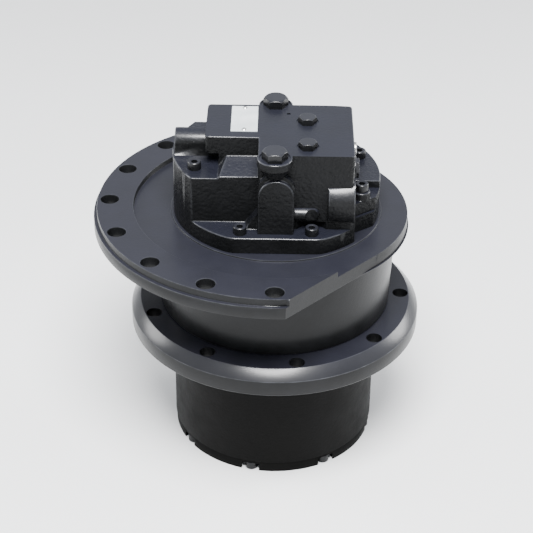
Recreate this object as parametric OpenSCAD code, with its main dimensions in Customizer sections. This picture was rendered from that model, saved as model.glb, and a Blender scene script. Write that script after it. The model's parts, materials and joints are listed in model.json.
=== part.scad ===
// Two-flange planetary travel drive for a compact track loader, standing on its gear cover.
// The origin is on the rotation axis at the outer face of the gear cover, with +Z towards the motor.

/* [Frame flange] */
// Radius of the flange that bolts to the machine's side frame
flange_r = 185; // [183:0.5:195]
// Thickness of the frame flange
flange_t = 20; // [16:0.5:26]
// Width of the lower rim around the raised bolting face
rim_w = 3.3; // [1:0.1:6]
// Drop of that rim below the bolting face
rim_drop = 7.5; // [3:0.5:10]
// Distance from the rim to the ring of frame bolts
frame_bolt_inset = 15.7; // [13:0.1:20]
// Diameter of a frame bolt hole
frame_hole_d = 18.5; // [14:0.5:21]
// Angle between two frame bolt holes
frame_hole_step = 22.5; // [20:0.5:22.5]
// Number of frame bolt holes
frame_hole_count = 9; // [5:2:9]
// Width of the raised bolting face
face_w = 36.9; // [32:0.1:42]
// Depth of that recess
recess_depth = 4.5; // [2:0.5:6]
// Width left outside the drum where the side is cut back for the machine's frame
cut_land = 11.6; // [6:0.1:18]
// Half angle of the cut side
cut_angle = 43; // [38:0.5:46]

/* [Drum] */
// Radius of the drum under the frame flange
drum_r = 122; // [120.5:0.5:126]
// Radius of the drum at its foot
drum_foot_r = 118.6; // [117:0.1:120]
// Length of the drum between the two flanges
drum_len = 87.4; // [80:0.1:100]
// Radius of the fillet under the frame flange
drum_fillet = 13; // [6:1:18]
// Radius of the bore that holds the parking brake
brake_bore_r = 82; // [81:0.5:84]
// Radius of the chamber that holds the swash plate
swash_bore_r = 62; // [60:0.5:64]

/* [Sprocket hub] */
// Radius of the flange that carries the sprocket
sprocket_flange_r = 150; // [148:0.5:160]
// Thickness of the sprocket flange
sprocket_flange_t = 26.8; // [22:0.1:32]
// Width of the chamfer on its top edge
hub_chamfer_w = 9.6; // [4:0.1:12]
// Height of that chamfer
hub_chamfer_h = 10.2; // [4:0.1:14]
// Radius of the ring of sprocket bolts
sprocket_bolt_r = 131.5; // [129:0.1:134]
// Diameter of a sprocket bolt hole
sprocket_hole_d = 16; // [12:0.5:18]
// Number of sprocket bolts
sprocket_hole_count = 9; // [6:1:12]
// Radius of the pilot that centres the sprocket
pilot_r = 112; // [110:0.5:116]
// Length of that pilot
pilot_len = 10; // [6:0.5:14]
// Wall of the gear case around the ring gear
case_wall = 14.1; // [13:0.1:17]
// Length of the gear case from the cover's outer face to the sprocket flange
case_len = 131; // [122:0.5:140]
// Running gap between the hub and the drum
run_gap = 0.3; // [0.2:0.05:0.6]

/* [Gears] */
// Module of all gears
gear_module = 2.5; // [2.4:0.02:2.52]
// Play cut from the teeth at each mesh
backlash = 0.3; // [0.2:0.02:0.5]
// Teeth of the ring gear
ring_teeth = 63; // [63]
// Teeth of the pinion on the motor's shaft
pinion_teeth = 15; // [15]
// Teeth of the second sun gear
sun_teeth = 21; // [21]
// Share of the gear case's tooth room that the first planets take
first_share = 0.423; // [0.36:0.001:0.44]
// Radius of a first planet's pin
first_pin_r = 8; // [6:0.5:10]
// Radius of a second planet's pin
second_pin_r = 11; // [9:0.5:12]

/* [Gear cover] */
// Thickness of the gear cover
cover_t = 12; // [10:0.5:14]
// Number of cover bolts
cover_bolt_count = 8; // [6:1:12]
// Radius of the pocket around each cover bolt's head
cover_pocket_r = 10.5; // [8.5:0.1:12]

/* [Motor cover] */
// Radius of the round base of the motor cover
base_r = 104; // [102:0.1:106]
// Thickness of its base flange
base_t = 17; // [14:0.5:20]
// Height of the cast ledge beside the port block
ledge_h = 65; // [60:0.5:70]
// Height of the port block above the base
block_h = 97; // [90:0.5:105]
// Distance from the axis to the flat front of the base
base_front = 94.5; // [92:0.5:98]
// Distance from the axis to the front of the port block
block_front = 74.5; // [73:0.5:77]
// Distance from the axis to the set-back front wall on the left
left_front = 63; // [60:0.5:66]
// Distance from the axis to the back of the port block
block_back = 34; // [32:0.5:40]
// Distance from the axis to the set-back front of the block's left half
left_block_front = 37; // [34:0.5:42]
// Distance from the axis to the machined right side
block_right = 74.5; // [72:0.5:78]
// Distance from the axis to the left side of the port block
block_left = 70; // [66:0.5:73]
// Radius of the ring of bolts that hold the motor cover
motor_bolt_r = 91; // [90:0.1:92.5]
// Radius of the boss around each large plug
plug_boss_r = 17; // [15:0.5:19]
// Size of the large plug heads across their flats
large_plug_af = 22; // [19:1:24]
// Size of the small plug heads across their flats
small_plug_af = 16; // [13:1:18]

/* [Brake and motor] */
// Number of lined brake discs
brake_discs = 3; // [2:1:3]
// Radius of the cylinder block
block_r = 44; // [42:0.5:45]
// Number of motor pistons
piston_count = 9; // [7:2:9]
// Radius of a motor piston
piston_r = 8.5; // [7:0.1:8.8]
// Radius of the ring of pistons
piston_ring_r = 31; // [30:0.5:32]
// Radius of the drive shaft
shaft_r = 15; // [13:0.5:16]
// Steepest tilt of the swash plate
swash_tilt = 14; // [10:0.5:14]

/* [Hidden] */
$fn = 96;

// Colours of the finishes
slate = "#474c52";
dark_slate = "#33383c";
case_black = "#1d1f20";
steel = "#9a9c9e";
dark_steel = "#5a5c5f";
bronze = "#a8824a";
rubber = "#161616";
plate_white = "#d8dadb";

// Fits
seat_gap = 0.05;
slide_gap = 0.05;
loose_gap = 0.4;
cut = 1;
far = 500;

// Heights along the axis
hub_top = case_len + sprocket_flange_t;
drum_z = hub_top + run_gap;
flange_z = drum_z + drum_len;
face_z = flange_z + flange_t;
recess_z = face_z - recess_depth;
base_top = recess_z + base_t;
ledge_z = recess_z + ledge_h;
block_z = recess_z + block_h;

// Frame flange
frame_bolt_r = flange_r - frame_bolt_inset;
recess_r = flange_r - rim_w - face_w;
cut_r = drum_r + cut_land;

// Floating seal between hub and drum
seal_seat_r = 113;
seal_r1 = seal_seat_r - 6;
seal_r0 = seal_r1 - 15;
seal_h = 11;
seal_lip = 3;
seat_depth = 12.8;
hub_seat_z = hub_top - seat_depth;
drum_seat_h = 13;
toric_r = 2.8;
toric_ring_r = seal_r1 + toric_r + 0.1;
toric_z = 7.6;

// Main bearings on the spindle's neck, stacked down from the seal's seat
neck_r = 72;
shoulder_r = 80;
bearing_bore_r = 94;
race_w = 15;
spacer_t = 1.5;
race_room = 5.5;
bearing_a_z = hub_seat_z - race_room - 2 * race_w - spacer_t;
bearing_b_z = bearing_a_z + race_w + spacer_t;
roller_gap = 0.03;
roller_r = 6;
roller_count = 24;
roller_ring_r = (neck_r + bearing_bore_r) / 2;
cage_t = 3;
nut_w = 10;
nut_r = 84;
neck_z = bearing_a_z - nut_w - race_room;

// Gear case stack between the cover and the spindle's neck
spigot_h = 4;
end_gap = 0.5;
stage_gap = 2.5;
carrier_t = 10.5;
thrust_t = 3;
ring_z = cover_t + spigot_h;
pinion_z = cover_t + 10;
second_top = neck_z - 3 * end_gap;
tooth_room = second_top - pinion_z - carrier_t - thrust_t - stage_gap - 2 * end_gap;
first_face = tooth_room * first_share;
second_face = tooth_room - first_face;
carrier_z = pinion_z + first_face + end_gap;
thrust_z = carrier_z + carrier_t + stage_gap;
second_z = thrust_z + thrust_t + end_gap;
ring_top = neck_z + end_gap;
pin_depth = 24;

// Gears
pressure_angle = 20;
first_planet_teeth = (ring_teeth - pinion_teeth) / 2;
second_planet_teeth = (ring_teeth - sun_teeth) / 2;
first_centre = gear_module * (pinion_teeth + first_planet_teeth) / 2;
second_centre = gear_module * (sun_teeth + second_planet_teeth) / 2;
ring_root_r = gear_module * (ring_teeth / 2 + 1.25);
ring_outer_r = ring_root_r + 10;
first_planets = 3;
second_planets = 4;
first_start = 90;
second_start = 0;
first_sun_phase = sun_phase(first_start, pinion_teeth, first_planet_teeth);
second_sun_phase = sun_phase(second_start, sun_teeth, second_planet_teeth);
pinion_shaft_r = 9;
bush_t = 3;
gear_seat_r = ring_outer_r;
case_r = gear_seat_r + case_wall;
cover_bolt_r = gear_seat_r + case_wall / 2;
web_r = 88;
seal_face_z = hub_top + 0.15;
seal_groove_r = brake_bore_r + 2.6;
seal_section_r = 1.3;
rear_journal_r = 12;
speed_piston_r = 8;
cover_bolt_phase = -12.5;
cover_head_z = 8.6;
cover_screw_len = 24;
cover_plug_r = 74;
cover_plug_hole_r = 8;
cover_pad_r = 24;
sun_bore_r = 11.5;
sun_spigot_r = 19;

// Motor inside the drum, hung from the motor cover's face
cover_spigot_len = 18.4;
valve_plate_t = 3;
block_len = 39.5;
spigot_z = recess_z - cover_spigot_len;
spigot_r = 43;
block_top = spigot_z - valve_plate_t - 0.1;
block_bottom = block_top - block_len;
shoe_z = block_bottom - 11;
shoe_t = 3.5;
swash_t = 14;
swash_r = 46;
swash_pivot_z = shoe_z - 19;
trunnion_r = 8;
trunnion_wall = 4;
trunnion_pad = 34;
trunnion_pad_w = 12;
floor_z = swash_pivot_z - 20;
speed_piston_z = floor_z - 13;
front_bearing_r = 31;
front_bearing_w = 14;
front_bearing_z = floor_z - 17;
seal_w = 6;
through_r = 20;
shaft_end_z = neck_z + 4.5;
spline_len = 30;
brake_floor_z = recess_z - 56;
steel_plate_t = 2;
lined_t = 2.5;
plate_gap = 0.15;
pack_top = brake_floor_z + steel_plate_t + brake_discs * (steel_plate_t + lined_t + 2 * plate_gap);
piston_z = pack_top + plate_gap;
brake_piston_t = 27;
disc_spring_t = 3;
rear_bearing_r = 17;
rear_bearing_w = 15;
piston_len = 30;
piston_neck = 7;

// Motor cover
motor_bolt_angles = [22.5, 67.5, 112.5, 152, -152, -112.5, -67.5, -22.5];
bolt_d = 8;
bolt_head_d = 13;
bolt_head_h = 8;
bolt_depth = 22;
column_r = 17.75;
column_x = -0.3;
column_front = 86;
column_top = 341;
plug_x = -2;
large_front_y = -(block_front + 3.5);
large_back_y = block_back + 2;
large_head_h = 9;
small_plug_x = 29.5;
small_plug_y = [-2, -55];
small_head_h = 7;
step_x = -18;
boss_left = 101;
boss_r = 12;
boss_y = -5;
boss_top = ledge_z + 24;
boss_z = boss_top - boss_r;
boss_wall_left = 88;
boss_wall_back = 10.5;
boss_chamfer = [6.5, 11.5];
undercut_h = 13;
seat_land_r = base_r + 3;
seat_land_h = 1.5;
base_corner_r = 25;
column_step = 4;
column_drop = 5;
pad_left = 57;
pad_slope_w = 9;
relief_pocket_r = 17;
relief_pocket_h = 8.5;
back_ledge_z = recess_z + 39;
ear_z = recess_z + 31;
spool_y = -58;
spool_z = recess_z + 44;
spool_boss_r = 25;
spool_r = 11;
spool_travel = 5;
port_r = 13.2;
port_z = block_z - 23;
port_x = 41;
plate_w = 26;
plate_l = 54;
plate_t = 0.6;
plate_x = -32.5;
plate_y = 1.5;

corner_r = 4;
plug_seat = 1;
plug_depth = 13;
plug_ratio = 0.42;
oilway_r = 6.5;
oilway_end = 36;
spool_end = -14;
spool_plug_r = 15;
spool_land_w = 9;
spool_land_step = 16;
spool_plug_x = block_right - 14;
relief_r = 9;
relief_len = 33;
relief_af = 17;
relief_y = -50;
relief_drop = 25;
relief_z = block_z - relief_drop;
face_plug_y = -36;
face_plug_z = block_z - 11;
port_depth = 18;
drain_port_r = 6.5;
speed_port_r = 4.5;
speed_port_x = 65.6;
rivet_y = plate_l / 2 - 3.5;
motor_seats = [
  back_ledge_z, back_ledge_z, back_ledge_z, back_ledge_z,
  ledge_z, base_top, base_top, ear_z + 8
];

// Involute of an angle, in degrees
function involute(a) = tan(a) * 180 / PI - a;

// Half of a tooth's angle at radius r, on a gear with n teeth
function tooth_half(n, r) =
  let (
    pitch_r = gear_module * n / 2,
    base_r0 = pitch_r * cos(pressure_angle),
    a = r > base_r0 ? acos(base_r0 / r) : 0
  )
  90 / n - backlash / 4 / pitch_r * 180 / PI + involute(pressure_angle) - involute(a);

// Half of an inner tooth's angle at radius r, on a ring with n teeth
function ring_tooth_half(n, r) =
  let (
    pitch_r = gear_module * n / 2,
    a = acos(pitch_r * cos(pressure_angle) / r)
  )
  90 / n - backlash / 4 / pitch_r * 180 / PI - involute(pressure_angle) + involute(a);

function polar(r, a) = [r * cos(a), r * sin(a)];

// Angle of one tooth of a sun that meshes with its first planet at angle start
function sun_phase(start, sun, planet) =
  (start * (ring_teeth + sun) - 180 * planet) / sun;

// Angle of one tooth of the planet that stands at angle at
function planet_phase(at, phase, sun, planet) =
  at + 180 - (0.5 - (at - phase) * sun / 360) * 360 / planet;

// Outline of an outer gear with n teeth, one of them at angle phase
module gear_outline(n, phase) {
  pitch_r = gear_module * n / 2;
  root_r = pitch_r - 1.25 * gear_module;
  tip_r = pitch_r + gear_module;
  polygon([
    for (i = [0:n - 1])
      let (c = phase + i * 360 / n)
      for (p = [[root_r, -1], [pitch_r, -1], [tip_r, -1], [tip_r, 1], [pitch_r, 1], [root_r, 1]])
        polar(p[0], c + p[1] * tooth_half(n, p[0]))
  ]);
}

// Outline of the hole in a ring gear, with one inner tooth on +X
module ring_outline(n) {
  pitch_r = gear_module * n / 2;
  root_r = pitch_r + 1.25 * gear_module;
  tip_r = pitch_r - gear_module;
  polygon([
    for (i = [0:n - 1])
      let (c = i * 360 / n)
      for (p = [[root_r, -1], [pitch_r, -1], [tip_r, -1], [tip_r, 1], [pitch_r, 1], [root_r, 1]])
        polar(p[0], c + p[1] * ring_tooth_half(n, p[0]))
  ]);
}

// Ring between two radii
module tube(r0, r1, z, h) {
  translate([0, 0, z])
    difference() {
      cylinder(r = r1, h = h);
      translate([0, 0, -cut]) cylinder(r = r0, h = h + 2 * cut);
    }
}

// Rod along +X from x0 to x1
module rod_x(r, x0, x1, y, z) {
  translate([x0, y, z]) rotate([0, 90, 0]) cylinder(r = r, h = x1 - x0);
}

// Rod along +Y from y0 to y1
module rod_y(r, y0, y1, x, z) {
  translate([x, y0, z]) rotate([-90, 0, 0]) cylinder(r = r, h = y1 - y0);
}

module rounded_rectangle(x0, x1, y0, y1, r) {
  translate([x0 + r, y0]) square([x1 - x0 - 2 * r, y1 - y0]);
  translate([x0, y0 + r]) square([x1 - x0, y1 - y0 - 2 * r]);
  for (x = [x0 + r, x1 - r], y = [y0 + r, y1 - r]) translate([x, y]) circle(r = r);
}

// Hexagon head with a chamfered crown, af across its flats
module hex_head(af, h) {
  intersection() {
    cylinder(r = af / sqrt(3), h = h, $fn = 6);
    union() {
      cylinder(r = af / sqrt(3) + cut, h = h - af * 0.09);
      translate([0, 0, h - af * 0.09]) cylinder(r1 = af / sqrt(3), r2 = af * 0.46, h = af * 0.09);
    }
  }
}

// Socket head screw with its seat at z = 0
module socket_screw(len) {
  difference() {
    union() {
      cylinder(r = bolt_head_d / 2, h = bolt_head_h - 0.6);
      translate([0, 0, bolt_head_h - 0.6])
        cylinder(r1 = bolt_head_d / 2, r2 = bolt_head_d / 2 - 0.6, h = 0.6);
      translate([0, 0, -len]) cylinder(r = bolt_d / 2, h = len + cut);
    }
    translate([0, 0, bolt_head_h - 4.5]) cylinder(r = 6 / sqrt(3), h = 6, $fn = 6);
  }
}

// Outline of the frame flange, with its right side cut back
module flange_outline(r) {
  tangent_x = cut_r * cos(cut_angle);
  intersection() {
    circle(r = r);
    rotate(cut_angle) translate([cut_r - far, -far]) square([far, 2 * far]);
    rotate(-cut_angle) translate([cut_r - far, -far]) square([far, 2 * far]);
    translate([tangent_x - far, -far]) square([far, 2 * far]);
  }
  circle(r = cut_r);
}

// Outer profile of the drum, its fillet and the neck that carries the main bearings
module spindle_profile() {
  difference() {
    polygon([
      [0, neck_z], [neck_r - 1, neck_z], [neck_r, neck_z + 1], [neck_r, bearing_b_z + race_w + 0.5],
      [shoulder_r, bearing_b_z + race_w + 0.5], [shoulder_r, drum_z + drum_seat_h],
      [seal_seat_r, drum_z + drum_seat_h], [seal_seat_r, drum_z],
      [drum_foot_r - 1, drum_z], [drum_foot_r, drum_z + 1],
      [drum_r, flange_z - drum_fillet], [drum_r + drum_fillet, flange_z - drum_fillet],
      [drum_r + drum_fillet, flange_z + cut], [0, flange_z + cut]
    ]);
    translate([drum_r + drum_fillet, flange_z - drum_fillet]) circle(r = drum_fillet);
  }
}

module frame_hole_places() {
  for (i = [0:frame_hole_count - 1])
    rotate(180 + (i - (frame_hole_count - 1) / 2) * frame_hole_step)
      translate([frame_bolt_r, 0, 0]) children();
}

module motor_bolt_places() {
  for (a = motor_bolt_angles)
    rotate(a) translate([motor_bolt_r, 0, 0]) children();
}

module spindle_housing() {
  pad = trunnion_pad;
  pad_w = trunnion_pad_w;
  trunnion_bore_r = trunnion_r + trunnion_wall;
  color(slate)
    difference() {
      union() {
        rotate_extrude() spindle_profile();
        translate([0, 0, flange_z]) linear_extrude(flange_t - rim_drop) flange_outline(flange_r);
        translate([0, 0, flange_z + cut])
          linear_extrude(flange_t - cut) flange_outline(flange_r - rim_w);
      }
      translate([0, 0, recess_z]) cylinder(r = recess_r, h = flange_t);
      tube(seat_land_r, recess_r, recess_z - seat_land_h, flange_t);
      translate([0, 0, flange_z - cut]) frame_hole_places()
        cylinder(r = frame_hole_d / 2, h = flange_t + 2 * cut);
      translate([0, 0, brake_floor_z]) cylinder(r = brake_bore_r, h = far);
      difference() {
        translate([0, 0, floor_z]) cylinder(r = swash_bore_r, h = far);
        for (side = [-1, 1])
          translate([side * (swash_bore_r - pad_w / 2) - pad_w / 2, -pad / 2, floor_z - cut])
            cube([pad_w, pad, swash_pivot_z + pad / 2 - floor_z]);
      }
      translate([0, 0, front_bearing_z]) cylinder(r = front_bearing_r, h = far);
      translate([0, 0, front_bearing_z - seal_w]) cylinder(r = front_bearing_r - 5, h = far);
      translate([0, 0, neck_z - cut]) cylinder(r = through_r, h = far);
      rod_x(trunnion_bore_r, -swash_bore_r + 1, swash_bore_r - 1, 0, swash_pivot_z);
      translate([0, 0, neck_z - cut]) second_places()
        cylinder(r = second_pin_r + seat_gap, h = pin_depth + cut);
      translate([0, 0, recess_z - bolt_depth - 2]) motor_bolt_places()
        cylinder(r = bolt_d / 2 + seat_gap, h = far);
      translate([0, -(swash_r - 6), speed_piston_z - cut])
        cylinder(r = speed_piston_r + slide_gap, h = floor_z - speed_piston_z + 2 * cut);
      tube(
        seal_groove_r - seal_section_r - 0.3, seal_groove_r + seal_section_r + 0.3,
        recess_z - 2 * seal_section_r - 0.1, far
      );
    }
}

// Places of the second planets around the axis
module second_places() {
  for (i = [0:second_planets - 1])
    rotate(second_start + i * 360 / second_planets) translate([second_centre, 0, 0]) children();
}

module first_places() {
  for (i = [0:first_planets - 1])
    rotate(first_start + i * 360 / first_planets) translate([first_centre, 0, 0]) children();
}

// Place along X of the centre of the arc that rounds a circle's corner at a straight front
function corner_x(r, front, corner) = sqrt(pow(r - corner, 2) - pow(front - corner, 2));

// Corner that is cut off where a circle meets a straight front
module corner_cut(r, front, corner, side) {
  x = corner_x(r, front, corner);
  polygon([
    [side * x, corner - front], [side * x, -far],
    [side * x * far / (r - corner), (corner - front) * far / (r - corner)]
  ]);
}

// Circle that rounds the corner in its place
module corner_fill(r, front, corner, side) {
  translate([side * corner_x(r, front, corner), corner - front]) circle(r = corner);
}

// Round base of the motor cover, with its flat front and the notch beside the right ear
module base_outline(notch_y) {
  notch_x = block_right + 2.5;
  notch_slope = 0.73;
  difference() {
    union() {
      difference() {
        circle(r = base_r);
        translate([-far, -far - base_front]) square([2 * far, far]);
        for (side = [-1, 1]) corner_cut(base_r, base_front, base_corner_r, side);
      }
      for (side = [-1, 1]) corner_fill(base_r, base_front, base_corner_r, side);
    }
    polygon([
      [notch_x, -far], [notch_x, notch_y], [far, notch_y + (far - notch_x) * notch_slope], [far, -far]
    ]);
  }
}

// Round casing wall above the base, behind its two front walls and the machined right face
module casing_outline() {
  wall_right = block_right + 1.5;
  intersection() {
    circle(r = base_r);
    union() {
      translate([-far, -left_front]) square([far + wall_right, left_front + block_back]);
      translate([step_x, -block_front]) square([wall_right - step_x, block_front]);
    }
  }
}

// Upright boss on the front wall, with a rounded top
module column(front, r, top) {
  centre_z = top - r;
  rod_y(r, -front, -left_front, column_x, centre_z);
  translate([column_x - r, -front, base_top - cut])
    cube([2 * r, front - left_front, centre_z - base_top + cut]);
}

// Port block in two steps, with the round bosses of its two large plugs
module port_block() {
  translate([0, 0, base_top]) linear_extrude(block_z - base_top)
    rounded_rectangle(step_x, block_right, -block_front, block_back, corner_r);
  translate([0, 0, base_top]) linear_extrude(block_z - base_top)
    rounded_rectangle(-block_left, step_x + 2 * corner_r, -left_block_front, block_back, corner_r);
  translate([plug_x, large_front_y, block_z - 8]) cylinder(r = plug_boss_r, h = 8);
  translate([plug_x, large_front_y, block_z - 20]) cylinder(r1 = 9, r2 = plug_boss_r, h = 12);
  translate([plug_x, large_back_y, back_ledge_z - cut])
    cylinder(r = plug_boss_r, h = block_z - back_ledge_z + cut);
}

// Round boss of the drain port on the left side, beside a wall with a chamfered corner
module drain_boss() {
  inner_x = -block_left + corner_r + cut;
  wall_x = -boss_wall_left;
  rod_x(boss_r, -boss_left, inner_x, boss_y, boss_z);
  translate([-boss_left, boss_y - boss_r, ledge_z - cut])
    cube([inner_x + boss_left, 2 * boss_r, boss_z - ledge_z + cut]);
  translate([0, 0, ledge_z - cut]) linear_extrude(boss_top - ledge_z + cut)
    polygon([
      [wall_x, boss_y], [wall_x, boss_wall_back - boss_chamfer[1]],
      [wall_x + boss_chamfer[0], boss_wall_back], [inner_x, boss_wall_back], [inner_x, boss_y]
    ]);
}

// Sloping cast pad in front of the set-back wall of the block, with a sloping left end
module cast_pad() {
  low_z = ledge_z - 4;
  high_z = ledge_z + 12;
  difference() {
    translate([-pad_left, 0, 0]) rotate([90, 0, 90]) linear_extrude(pad_left + step_x + cut)
      polygon([
        [-left_block_front + cut, low_z], [-left_front, low_z],
        [-left_front, ledge_z + 2], [-left_block_front + cut, high_z]
      ]);
    rotate([90, 0, 0]) linear_extrude(2 * far, center = true)
      polygon([
        [-pad_left - cut, ledge_z], [-pad_left, ledge_z],
        [-pad_left + pad_slope_w, high_z + cut], [-pad_left - cut, high_z + cut]
      ]);
  }
}

// Rib between the column and the front wall
module column_rib() {
  x = column_x - column_r;
  translate([0, -left_front + cut, 0]) rotate([90, 0, 0]) linear_extrude(15)
    polygon([
      [x + cut, base_top - cut], [x + cut, base_top + 19],
      [x - 9, base_top + 6], [x - 12, base_top - cut]
    ]);
}

// Cast pipe bosses around the drilled oilway and the spool
module pipe_bosses() {
  pipe_y = -block_front + 0.5;
  pipe_z = base_top + 17;
  rod_x(oilway_r, column_x + column_r - 3, oilway_end, pipe_y, pipe_z);
  translate([oilway_end, pipe_y, pipe_z]) sphere(r = oilway_r);
  rod_x(spool_boss_r, 50, block_right + 1.5, spool_y, spool_z);
}

// Ear on the right with a raised seat for its bolt
module right_ear() {
  translate([0, 0, base_top - cut]) linear_extrude(ear_z - base_top + cut)
    intersection() {
      base_outline(-49.5);
      translate([block_right - 4, -block_front]) square([far, block_front]);
    }
  rotate(motor_bolt_angles[7]) translate([motor_bolt_r, 0, ear_z - cut])
    cylinder(r = 8.5, h = motor_seats[7] - ear_z + cut);
}

module motor_cover() {
  back_h = back_ledge_z - base_top;
  color(dark_slate)
    difference() {
      union() {
        translate([0, 0, recess_z]) linear_extrude(base_t) base_outline(-53);
        translate([0, 0, base_top - cut]) linear_extrude(back_h + cut) intersection() {
          circle(r = base_r);
          translate([-far, -15]) square([2 * far, far]);
        }
        translate([0, 0, base_top - cut])
          linear_extrude(ledge_z - base_top + cut) casing_outline();
        port_block();
        column(column_front - column_step, column_r, column_top);
        column(column_front, column_r - 0.5, column_top - column_drop);
        drain_boss();
        cast_pad();
        column_rib();
        pipe_bosses();
        right_ear();
        translate([0, 0, spigot_z]) cylinder(r = spigot_r, h = recess_z - spigot_z + cut);
      }
      translate([0, 0, spigot_z - cut]) cylinder(r = rear_bearing_r, h = rear_bearing_w + 5);
      translate([-block_left - cut, -left_block_front - cut, ledge_z])
        cube([block_left - pad_left + cut, left_block_front + boss_y - boss_r + cut, undercut_h]);
      rotate(motor_bolt_angles[6]) translate([motor_bolt_r, 0, base_top])
        cylinder(r = relief_pocket_r, h = relief_pocket_h);
      for (i = [0:len(motor_bolt_angles) - 1])
        rotate(motor_bolt_angles[i]) translate([motor_bolt_r, 0, 0]) {
          translate([0, 0, recess_z - cut]) cylinder(r = bolt_d / 2 + loose_gap, h = far);
          translate([0, 0, motor_seats[i]]) cylinder(r = bolt_head_d / 2 + 1.1, h = far);
        }
      for (y = [large_front_y, large_back_y])
        plug_bore(plug_x, y, large_plug_af);
      for (y = small_plug_y)
        plug_bore(small_plug_x, y, small_plug_af);
      translate([11, 14, block_z - 1.2]) cylinder(r = 2, h = 3);
      rod_x(spool_r + slide_gap, spool_end, block_right, spool_y, spool_z);
      rod_x(spool_plug_r + seat_gap, spool_plug_x, far, spool_y, spool_z);
      rod_x(relief_r + seat_gap, block_right - relief_len - 1, far, relief_y, relief_z);
      rod_x(relief_r + 4, block_right, far, relief_y, relief_z);
      rod_x(5 + seat_gap, block_right - 8, far, face_plug_y, face_plug_z);
      for (side = [-1, 1]) {
        rod_y(port_r, block_back - port_depth, far, side * port_x, port_z);
        rod_y(port_r + 6, block_back - 1, far, side * port_x, port_z);
      }
      rod_x(drain_port_r, -boss_left - cut, -boss_left + 14, boss_y, boss_z);
      rod_y(speed_port_r, block_back - 14, far, speed_port_x, port_z + 4);
    }
}

// Threaded bore of a plug in the top of the port block, with its shallow round seat
module plug_bore(x, y, af) {
  translate([x, y, block_z - plug_seat]) cylinder(r = af * 0.68, h = far);
  translate([x, y, block_z - plug_seat - plug_depth - 1])
    cylinder(r = af * plug_ratio + seat_gap, h = far);
}

module motor_cover_bolts() {
  color(dark_steel)
    for (i = [0:len(motor_bolt_angles) - 1])
      rotate(motor_bolt_angles[i])
        translate([motor_bolt_r, 0, motor_seats[i]]) socket_screw(motor_seats[i] - recess_z + bolt_depth);
}

// Hexagon head plug with its thread
module hex_plug(af, h) {
  hex_head(af, h);
  translate([0, 0, -plug_depth]) cylinder(r = af * plug_ratio, h = plug_depth + cut);
}

module large_port_plugs() {
  color(dark_steel)
    for (y = [large_front_y, large_back_y])
      translate([plug_x, y, block_z - plug_seat]) hex_plug(large_plug_af, large_head_h);
}

module small_port_plugs() {
  color(dark_steel)
    for (y = small_plug_y)
      translate([small_plug_x, y, block_z - plug_seat]) hex_plug(small_plug_af, small_head_h);
}

module name_plate() {
  color(plate_white)
    translate([0, 0, block_z]) difference() {
      linear_extrude(plate_t)
        translate([plate_x, plate_y]) square([plate_w, plate_l], center = true);
      for (side = [-1, 1])
        translate([plate_x, plate_y + side * rivet_y, -cut]) cylinder(r = 1.55, h = 5);
    }
}

module plate_rivets() {
  color(steel)
    for (side = [-1, 1])
      translate([plate_x, plate_y + side * rivet_y, block_z]) {
        cylinder(r = 1.5, h = plate_t + 0.5);
        translate([0, 0, plate_t]) cylinder(r1 = 2.6, r2 = 1.6, h = 1.1);
      }
}

module spool_plug() {
  color(dark_steel)
    difference() {
      rod_x(spool_plug_r, spool_plug_x, block_right + 1.2, spool_y, spool_z);
      translate([block_right - 6, spool_y, spool_z]) rotate([0, 90, 0])
        cylinder(r = 7, h = 20, $fn = 6);
    }
}

module relief_cartridge() {
  color(steel) {
    rod_x(relief_r, block_right - relief_len, block_right + cut, relief_y, relief_z);
    rod_x(relief_r + 3, block_right, block_right + 2, relief_y, relief_z);
    translate([block_right + 2 - cut, relief_y, relief_z]) rotate([0, 90, 0])
      rotate(30) cylinder(r = relief_af / sqrt(3), h = 3 + cut, $fn = 6);
  }
}

module face_plug() {
  color(steel) {
    rod_x(5, block_right - 7, block_right + cut, face_plug_y, face_plug_z);
    rod_x(6.2, block_right, block_right + 2.4, face_plug_y, face_plug_z);
  }
}

// O-ring of round section, centred on the axis
module o_ring(r, section_r, z) {
  translate([0, 0, z]) rotate_extrude() translate([r, 0]) circle(r = section_r, $fn = 32);
}

module cover_seal() {
  color(rubber) o_ring(seal_groove_r, seal_section_r, recess_z - seal_section_r - 0.05);
}

module valve_plate() {
  color(bronze)
    translate([0, 0, block_top + 0.05]) difference() {
      cylinder(r = spigot_r - cut, h = valve_plate_t);
      translate([0, 0, -cut]) cylinder(r = 19, h = 3 * valve_plate_t);
      for (a = [15, 195])
        rotate(a) translate([0, 0, -cut]) rotate_extrude(angle = 150)
          translate([piston_ring_r - 4, 0]) square([8, 3 * valve_plate_t]);
    }
}

// Ball bearing drawn as one ring with a groove on each face
module shaft_bearing(r0, r1, z, w) {
  middle = (r0 + r1) / 2;
  half = (r1 - r0) / 6;
  difference() {
    tube(r0, r1, z, w);
    for (groove_z = [z - cut, z + w - 1.5])
      tube(middle - half, middle + half, groove_z, cut + 1.5);
  }
}

module front_shaft_bearing() {
  color(steel)
    shaft_bearing(shaft_r + slide_gap, front_bearing_r - seat_gap, front_bearing_z, front_bearing_w);
}

module rear_shaft_bearing() {
  color(steel) shaft_bearing(
      rear_journal_r + slide_gap, rear_bearing_r - seat_gap, spigot_z + 1, rear_bearing_w
    );
}

module shaft_seal() {
  color(rubber)
    tube(shaft_r + slide_gap, front_bearing_r - 5 - seat_gap, front_bearing_z - seal_w, seal_w);
}

module swash_bushes() {
  bush_r = trunnion_r + trunnion_wall - seat_gap;
  half = (trunnion_pad_w - 1) / 2;
  x = swash_bore_r - trunnion_pad_w + half;
  color(bronze)
    for (side = [-1, 1])
      difference() {
        rod_x(bush_r, side * x - half, side * x + half, 0, swash_pivot_z);
        rod_x(trunnion_r + slide_gap, side * x - 2 * half, side * x + 2 * half, 0, swash_pivot_z);
      }
}

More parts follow.
